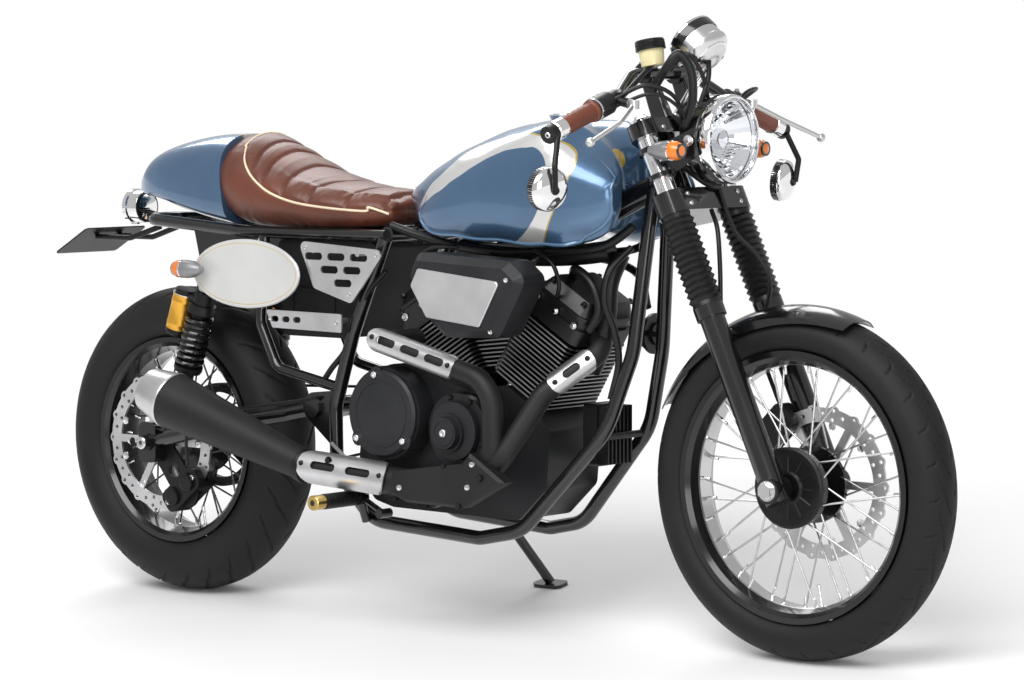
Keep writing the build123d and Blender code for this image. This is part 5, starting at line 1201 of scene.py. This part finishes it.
def addFillerTrim():
    up = Vector((0, 0, 1))
    ring = spun(fillerAt, up, [(-6, 33), (-1, 36), (1.5, 37), (3, 36), (3, 33), (-4, 32.4)], 64)
    addPiece("fillerRing", ring, "chrome", "chassis")
    lock = spun(fillerAt, up, [(4, 12), (7.5, 12), (8.5, 10), (8.5, 4), (7.5, 3.6), (7.5, 0)], 32)
    addPiece("fillerLock", lock, "chrome", "fuel_cap")


addFillerTrim()

# Oval side boards: a gold line inside the edge
board = {"centre": Vector((306, 158, 686)), "long": 146, "high": 70, "inset": 8, "line": 1.3}


def addBoardLines():
    for side, name in sides:
        face = board["centre"].y + 5.05
        rows = []
        for offset, lift in ((-board["line"], 0), (0, 0.5), (board["line"], 0)):
            long, high = (board[key] - board["inset"] - offset for key in ("long", "high"))
            angles = [2 * pi * step / 128 for step in range(128)]
            rows.append([
                Vector((board["centre"].x + long * cos(angle), side * (face + lift),
                        board["centre"].z + high * sin(angle)))
                for angle in angles
            ])
        addPiece("boardLine" + name, grid(rows, closed=True), "goldPaint", "chassis")


addBoardLines()

# Rear shocks: coil springs over the dampers, gold reservoirs with black caps, bolts at the eyes
shock = {"top": Vector((163, 125, 654)), "foot": Vector((96, 125, 449)), "turns": 8.5,
         "springRadius": 26, "wire": 4.4}


def addShocks():
    for side, name in sides:
        top, foot = onSide(shock["top"], side), onSide(shock["foot"], side)
        down = (foot - top).normalized()
        back = Vector((down.z, 0, -down.x))
        helix = []
        steps = int(shock["turns"] * 20)
        for step in range(steps + 1):
            angle = 2 * pi * step / 20
            along = 64 + 112 * step / steps
            helix.append(top + down * along + back * cos(angle) * shock["springRadius"]
                         + leftAxis * sin(angle) * shock["springRadius"])
        addPiece("shockSpring" + name, piped(helix, shock["wire"], 8), "glossBlack", "chassis")
        tank = top + down * 26 + back * 54
        can = spun(tank, down, [
            (9.5, 20), (9.5, 24.5), (13, 25), (16, 24.3), (22, 24.6), (24, 25.2), (27, 25.2), (29, 24.5),
            (70, 24.5), (72, 25.2), (76, 25.2), (78, 24.6), (86, 24.6), (88, 22),
        ], 56)
        addPiece("shockReservoir" + name, can, "goldMetal", "chassis")
        caps = [spun(tank, down, [(-0.5, 0), (-0.5, 19), (2, 21.6), (9, 21.8), (9, 20)], 40),
                spun(tank, down, [(87, 22), (88, 23.4), (95, 23), (101, 18), (101, 0)], 40),
                spun(top, down, [(40, 22.2), (40, 28.5), (47, 28.5), (50, 30), (58, 30), (60, 27)], 48),
                spun(top, down, [(176, 20), (176, 30), (183, 30), (186, 24)], 48)]
        addPiece("shockCaps" + name, merged(caps), "satinBlack", "chassis")
        rings = [spun(tank, down, [(9, 22), (9.2, 25.4), (11, 25.4), (11, 24)], 48)]
        for eye in (top, foot):
            face = eye + leftAxis * side * 11.5
            profile = [(0, 13), (1.5, 13), (1.5, 9), (6, 8.6), (6, 4), (3, 4), (3, 0)]
            rings.append(spun(face, leftAxis * side, profile, 24))
        addPiece("shockBolts" + name, merged(rings), "polishedSteel", "chassis")


addShocks()

# Muffler: bright tapered end, clamp at the neck
muffler = {"front": Vector((520, -217, 312)), "rear": Vector((104, -232, 444))}


def addMufflerTrim():
    aim = (muffler["rear"] - muffler["front"]).normalized()
    length = (muffler["rear"] - muffler["front"]).length
    end = spun(muffler["front"], aim, [
        (length - 66, 58), (length - 64, 58.8), (length - 60, 58.6), (length - 58, 57.6), (length - 2, 46.2),
        (length, 45.6), (length - 0.2, 43.6), (length - 8, 42), (length - 26, 39),
    ], 80)
    addPiece("mufflerEnd", end, "brushedAlloy", "chassis")
    clamp = spun(muffler["front"], aim, [(-6, 31), (-6, 33.5), (-4, 34.4), (10, 34.4), (12, 33)], 48)
    addPiece("mufflerClamp", clamp, "satinBlack", "chassis")


addMufflerTrim()

# Tail light: silver can and red lens
tailLight = {"centre": Vector((-132, 0, 808)), "radius": 37}


def addTailLight():
    back = Vector((-1, 0, 0))
    size = tailLight["radius"]
    can = spun(tailLight["centre"], back, [
        (-8, 0), (-8, 14), (-4, 24), (0, 32), (4, 34), (27, 34.5), (29, 38), (38.6, 38), (39, 35), (37, 31.5),
    ], 64)
    addPiece("tailLightCan", can, "chrome", "chassis")
    profile = [(37, size - 5), (39.5, size - 5.4), (43, 26), (46.3, 14), (47, 0)]
    lens = spun(tailLight["centre"], back, profile, 64)
    addPiece("tailLightLens", lens, "redLens", "chassis")


addTailLight()
print("tank trim, boards, shocks, muffler and tail light")

# Bolt heads, rivets and caps over the engine, plates and forks
clutch = Vector((700, 0, 425))
generator = Vector((868, 0, 400))
rightSkin = surfaceOf("right_engine_cover", "crankcase", "air_cleaner", "air_cleaner_plate", "exhaust_pipes",
                      "exhaust_guards", "side_plates", "front_cylinder", "rear_cylinder")
leftSkin = surfaceOf("left_engine_cover", "crankcase", "side_plates", "front_cylinder", "rear_cylinder")
rightWay = -leftAxis


def fromRight(x, z):
    return landed(rightSkin, (x, -420, z), (0, 1, 0))


def fromLeft(x, z):
    return landed(leftSkin, (x, 420, z), (0, -1, 0))


def roundSpots(centre, radius, turns):
    angles = [radians(turn) for turn in turns]
    return [(centre.x + radius * cos(angle), centre.z + radius * sin(angle)) for angle in angles]


engineBolts = {
    "clutchTurns": (100, 220, 320),
    "airCleaner": [(1040, 700), (1000, 600)],
    "collectorCover": [(776, 288), (948, 300), (960, 345)],
    "case": [(650, 250), (770, 246), (925, 262), (980, 320), (598, 330), (592, 405)],
    "leftCase": [(640, 262), (820, 250), (1000, 330), (1006, 420), (620, 440)],
    "leftCoverTurns": (20, 75, 130, 200, 255, 310),
    "headLeans": (31, -31),
}


def addEngineBolts():
    bright, dark = [], []
    for x, z in roundSpots(clutch, 78, engineBolts["clutchTurns"]):
        bright.append(socketBolt(fromRight(x, z), rightWay, 6.5, 7))
    bright.append(socketBolt(fromRight(858, 396) + rightWay, rightWay, 8, 3))
    for x, z in engineBolts["collectorCover"]:
        bright.append(rivet(fromRight(x, z), rightWay, 7, 4))
    for x, z in engineBolts["airCleaner"]:
        bright.append(socketBolt(fromRight(x, z), rightWay, 5, 2.5))
    for x, z in engineBolts["case"]:
        dark.append(hexBolt(fromRight(x, z), rightWay, 6, 6))
    for x, z in roundSpots(generator, 66, (15, 60, 105, 285, 340)):
        dark.append(hexBolt(fromRight(x, z), rightWay, 5, 5))
    for x, z in engineBolts["leftCase"]:
        dark.append(hexBolt(fromLeft(x, z), leftAxis, 6, 6))
    for x, z in roundSpots(Vector((880, 0, 360)), 76, engineBolts["leftCoverTurns"]):
        bright.append(socketBolt(fromLeft(x, z), leftAxis, 6, 6))
    bright.append(socketBolt(fromLeft(880, 360) + leftAxis, leftAxis, 9, 4))
    for lean in engineBolts["headLeans"]:
        rise = Vector((sin(radians(lean)), 0, cos(radians(lean))))
        wide = Vector((cos(radians(lean)), 0, -sin(radians(lean))))
        head = Vector((880, 0, 356)) + rise * 326
        for across in (-52, 0, 52):
            for side in (-1, 1):
                spot = head + wide * across + leftAxis * side * 85.5
                bright.append(hexBolt(spot, leftAxis * side, 5.5, 6))
        for across in (-44, 44):
            for side in (-1, 1):
                spot = head + rise * 41 + wide * across + leftAxis * side * 72
                dark.append(hexBolt(spot, rise, 5, 7))
    addPiece("engineBolts", merged(bright), "polishedSteel", "chassis")
    addPiece("engineDarkBolts", merged(dark), "satinBlack", "chassis")


addEngineBolts()

plateRivets = [(452, 742), (640, 732), (568, 652), (356, 596), (534, 594)]
guardRuns = [
    # a guard's pipe: start, run, near and far clamp as shares, radius, way it faces
    (Vector((700, -190, 567)), Vector((280, -4, -67)), -0.08, 0.7, 24.3, Vector((0, -1, 0.35))),
    (Vector((1146, -36, 574)), Vector((-90, -94, -94)), 0.27, 0.9, 24.3, Vector((0.6, -1, 0.3))),
    (Vector((860, -196, 288)), Vector((-340, -21, 24)), 0.36, 1.0, 34.3, Vector((0, -1, 0.35))),
]


def addPlateRivets():
    heads = []
    for x, z in plateRivets:
        heads.append(rivet(fromRight(x, z), rightWay, 5, 3))
        heads.append(rivet(fromLeft(x, z), leftAxis, 5, 3))
    addPiece("plateRivets", merged(heads), "polishedSteel", "chassis")
    clamps = []
    for start, run, near, far, size, toward in guardRuns:
        along = run.normalized()
        outward = (toward - along * toward.dot(along)).normalized()
        for share, inward in ((near, 1), (far, -1)):
            spot = start + run * share + along * inward * 12 + outward * size
            clamps.append(rivet(spot, outward, 5.5, 4))
    addPiece("guardRivets", merged(clamps), "satinBlack", "chassis")


addPlateRivets()


def addCoverRings():
    # raised rings on the round covers
    rings = [
        spun(fromRight(700, 425), rightWay, [(-0.5, 62), (1.4, 63), (1.4, 66), (-0.5, 67)], 96),
        spun(fromRight(858, 396), rightWay, [(-0.5, 22), (1.2, 23), (1.2, 25), (-0.5, 26)], 72),
    ]
    addPiece("coverRings", merged(rings), "castGrey", "chassis")


addCoverRings()

# Footrests: ribbed rubbers and brass ends
footrest = {"root": Vector((612, 176, 252)), "tip": Vector((612, 300, 252))}


def addFootrestTrim():
    for side, name in sides:
        root, tip = onSide(footrest["root"], side), onSide(footrest["tip"], side)
        axis = (tip - root).normalized()
        profile = [(4, 12), (4, 15)]
        for rib in range(12):
            along = 6 + rib * 7.4
            profile += [(along, 15.4), (along + 4.2, 15.4), (along + 5.0, 13.4), (along + 6.8, 13.4)]
        profile += [(97, 15), (97, 12)]
        addPiece("footrestRubber" + name, spun(root, axis, profile, 40), "hoseRubber", "chassis")
        end = spun(tip, axis, [(-27, 12), (-27, 14.6), (-2, 15), (0.5, 13), (0.5, 6), (-3, 5), (-3, 0)], 40)
        addPiece("footrestEnd" + name, end, "brass", "chassis")


addFootrestTrim()


# Fork: pinch bolts, top caps and the steering nut
def addForkTrim():
    heads = []
    for side in (-1, 1):
        for along, ahead in ((560, 30), (580, 30), (716, 29)):
            spot = forkPoint(along, ahead, side * (forkSpread - 16))
            heads.append(socketBolt(spot, forkAhead, 4.5, 5))
        cap = forkPoint(742.5, 0, side * forkSpread)
        heads.append(spun(cap, forkUp, [(-1, 19), (3, 18), (3, 12), (9, 11), (9, 0)], 6))
        for back in (-14, 14):
            spot = frontAxleAt + Vector((0, side * 120, 0)) + forkUp * back
            heads.append(socketBolt(spot - leftAxis * side * 1.5, leftAxis * side, 4, 3))
    heads.append(spun(forkPoint(748, -45), forkUp, [(-6, 22), (1, 22), (3, 19), (3, 9), (0, 9), (0, 0)], 32))
    for side in (-1, 1):
        for ahead in (-13, 13):
            spot = frontAxleAt + Vector((-332 + ahead, side * 48, 764 + 17))
            heads.append(socketBolt(spot, Vector((0, 0, 1)), 4.5, 5))
    addPiece("forkBolts", merged(heads), "polishedSteel", "steering")


addForkTrim()


# Calipers: mounting bolts and piston caps
def addCaliperTrim():
    front = frontAxleAt + Vector((-100, 62, 98))
    rear = rearAxleAt + Vector((78, -96, -96))
    bright = []
    for along in (-34, 34):
        spot = front + Vector((0.7, 0, 0.714)) * along + leftAxis * 8
        bright.append(hexBolt(spot, leftAxis, 6, 6))
        spot = rear + Vector((0.78, 0, 0.63)) * (along * 1.3) - leftAxis * 24.5
        bright.append(socketBolt(spot, -leftAxis, 6, 4))
    pins = []
    for along in (-26, 26):
        spot = rear + Vector((0.78, 0, 0.63)) * along - leftAxis * 31
        pins.append(spun(spot, -leftAxis, [(-1, 17.4), (1, 16.5), (1.5, 13), (0.4, 12), (0.4, 0)], 32))
    addPiece("caliperBolts", merged(bright[::2]), "polishedSteel", "steering")
    addPiece("rearCaliperBolts", merged(bright[1::2]), "polishedSteel", "chassis")
    addPiece("rearCaliperPistons", merged(pins), "satinBlack", "chassis")


addCaliperTrim()
print("bolts, rivets and trim")

# Brake fluid cup and cap on the right of the bar
cup = {"foot": frontAxleAt + Vector((-289, -84, 778)), "up": Vector((-0.2, 0, 1))}


def addCup():
    up = cup["up"].normalized()
    wall = spun(cup["foot"], up, [(-1, 0), (-1, 20), (0, 21.6), (31, 24.6), (33, 24)], 48)
    addPiece("reservoirCup", wall, "cupPlastic", "steering")
    profile = [(30, 24), (30, 28.8)]
    for rib in range(4):
        profile += [(33 + rib * 3, 28.8), (34 + rib * 3, 28.0)]
    profile += [(46, 28.4), (49.5, 26), (50, 0)]
    cap = spun(cup["foot"], up, profile, 48)
    addPiece("reservoirCap", cap, "satinBlack", "steering")


addCup()


# Switch buttons, with a red one on the right, and the clamp bolts
def addSwitches():
    out = (bar["end"] - bar["knee"]).normalized()
    red, dark = [], []
    for side in (-1, 1):
        middle = onSide(bar["knee"] + out * 60, side)
        back = Vector((-0.75, -0.1 * side, 0.66)).normalized()
        for along in (-14, 0, 13):
            spot = middle + onSide(out, side) * along + back * 21
            button = spun(spot, back, [(0, 6), (3, 5.6), (4, 4), (4, 0)], 20)
            (red if side < 0 and along == 13 else dark).append(button)
        clamp = onSide(bar["knee"] + out * 22, side) + Vector((18, 0, 2))
        dark.append(hexBolt(clamp + Vector((0, 0, 14)), Vector((0, 0, 1)), 4, 5))
    addPiece("switchButtonRed", merged(red), "redLens", "steering")
    addPiece("switchButtons", merged(dark), "paleGrey", "steering")


addSwitches()

# Cables and hoses: those of the controls ride with the fork, the rest are tied to the frame
def fromAxle(*places):
    return [frontAxleAt + Vector(place) for place in places]


def fromLens(*places):
    return [lensAt + Vector(place) for place in places]


def onFork(*places):
    return [forkPoint(*place) for place in places]


cables = {  # route, radius
    "hoseArch": (
        fromAxle(
            (-268, -112, 735), (-232, -118, 775), (-212, -108, 800), (-196, -92, 770),
            (-196, -86, 715), (-214, -84, 665),
        ), 8.5,
    ),
    "brakeHose": (
        fromAxle((-268, -60, 770), (-232, -52, 800), (-206, -30, 740), (-228, 6, 640), (-214, 18, 560))
        + onFork(
            (500, 34, 24), (440, 52, 40), (380, 44, 56), (300, -34, 78), (200, -46, 84), (132, -38, 82),
        ), 4.2,
    ),
    "clutchCable": (
        fromAxle((-262, 170, 716), (-206, 132, 735), (-196, 70, 720), (-232, 40, 640), (-262, 36, 600)), 3.6,
    ),
    "throttleCableOuter": (
        fromAxle(
            (-296, -196, 716), (-246, -160, 742), (-214, -112, 716), (-236, -66, 650), (-262, -40, 600),
        ), 4.0,
    ),
    "throttleCableInner": (
        fromAxle(
            (-290, -192, 706), (-236, -150, 726), (-208, -100, 690), (-236, -56, 630), (-262, -30, 590),
        ), 3.4,
    ),
    "lampLoom": (
        fromLens((-84, -22, 12), (-112, -40, 40), (-108, -30, -30))
        + onFork((610, 34, -30), (590, 36, 20), (640, 34, 46)), 6.5,
    ),
    "forkCable": (
        onFork((545, 30, -20), (500, 44, -44), (430, 30, -58), (360, 4, -62), (322, -4, -58)), 4.5,
    ),
    "speedLoom": (
        fromAxle((-222, 0, 790), (-206, -24, 752), (-212, -44, 700), (-240, -40, 640)), 5.0,
    ),
}
frameHoses = {  # under the tank, round the head pipe and between the cylinders
    "airDuct": ([
        (1140, -28, 752), (1060, -40, 742), (960, -44, 738), (860, -44, 740), (780, -40, 746),
    ], 21),
    "frontDuct": ([
        (1150, -10, 744), (1142, -34, 690), (1138, -36, 630), (1122, -30, 570), (1090, -20, 520),
    ], 17),
    "mainLoom": ([
        (1198, -34, 800), (1150, -58, 764), (1080, -66, 752), (1000, -72, 748), (900, -74, 744),
        (800, -76, 752), (700, -84, 772), (640, -96, 790),
    ], 9),
    "fuelHose": ([
        (1010, -60, 760), (1000, -92, 730), (960, -100, 712), (900, -96, 722), (880, -70, 750),
    ], 5.5),
    "headHose": ([
        (1190, -30, 760), (1166, -66, 716), (1160, -76, 660), (1172, -60, 600), (1176, -52, 540),
        (1168, -66, 470),
    ], 7),
    "sparkLeadFront": ([
        (960, -62, 740), (1000, -86, 748), (1046, -94, 728), (1062, -92, 690), (1050, -82, 664),
    ], 4.2),
    "sparkLeadRear": ([
        (850, -60, 740), (790, -86, 752), (730, -98, 742), (700, -98, 700), (706, -88, 664),
    ], 4.2),
    "breather": ([
        (1040, -20, 700), (1080, -62, 716), (1128, -74, 690), (1146, -76, 640), (1120, -70, 600),
    ], 9),
    "leftLoom": ([
        (1190, 34, 800), (1140, 60, 756), (1040, 74, 742), (900, 78, 738), (760, 84, 752), (640, 96, 786),
    ], 8),
    "leftHose": ([
        (1160, 60, 640), (1120, 84, 700), (1040, 92, 726), (940, 90, 730), (860, 84, 722),
    ], 8),
    "sideBoxLoom": ([
        (640, -110, 700), (600, -116, 660), (566, -118, 600), (540, -120, 540), (500, -118, 500),
        (470, -112, 470),
    ], 6),
    "brakeLine": ([
        (470, -128, 440), (400, -130, 428), (300, -142, 412), (200, -150, 398), (130, -150, 352),
        (118, -140, 280),
    ], 3.6),
}
pedalRod = [(640, -168, 262), (600, -158, 300), (560, -150, 330), (520, -140, 352)]

for body, runs in (("steering", cables), ("chassis", frameHoses)):
    for name, (route, radius) in runs.items():
        addCable(name, route, radius, body)
addCable("pedalRod", pedalRod, 4.0, "chassis", "paleGrey")
print("cables and hoses")
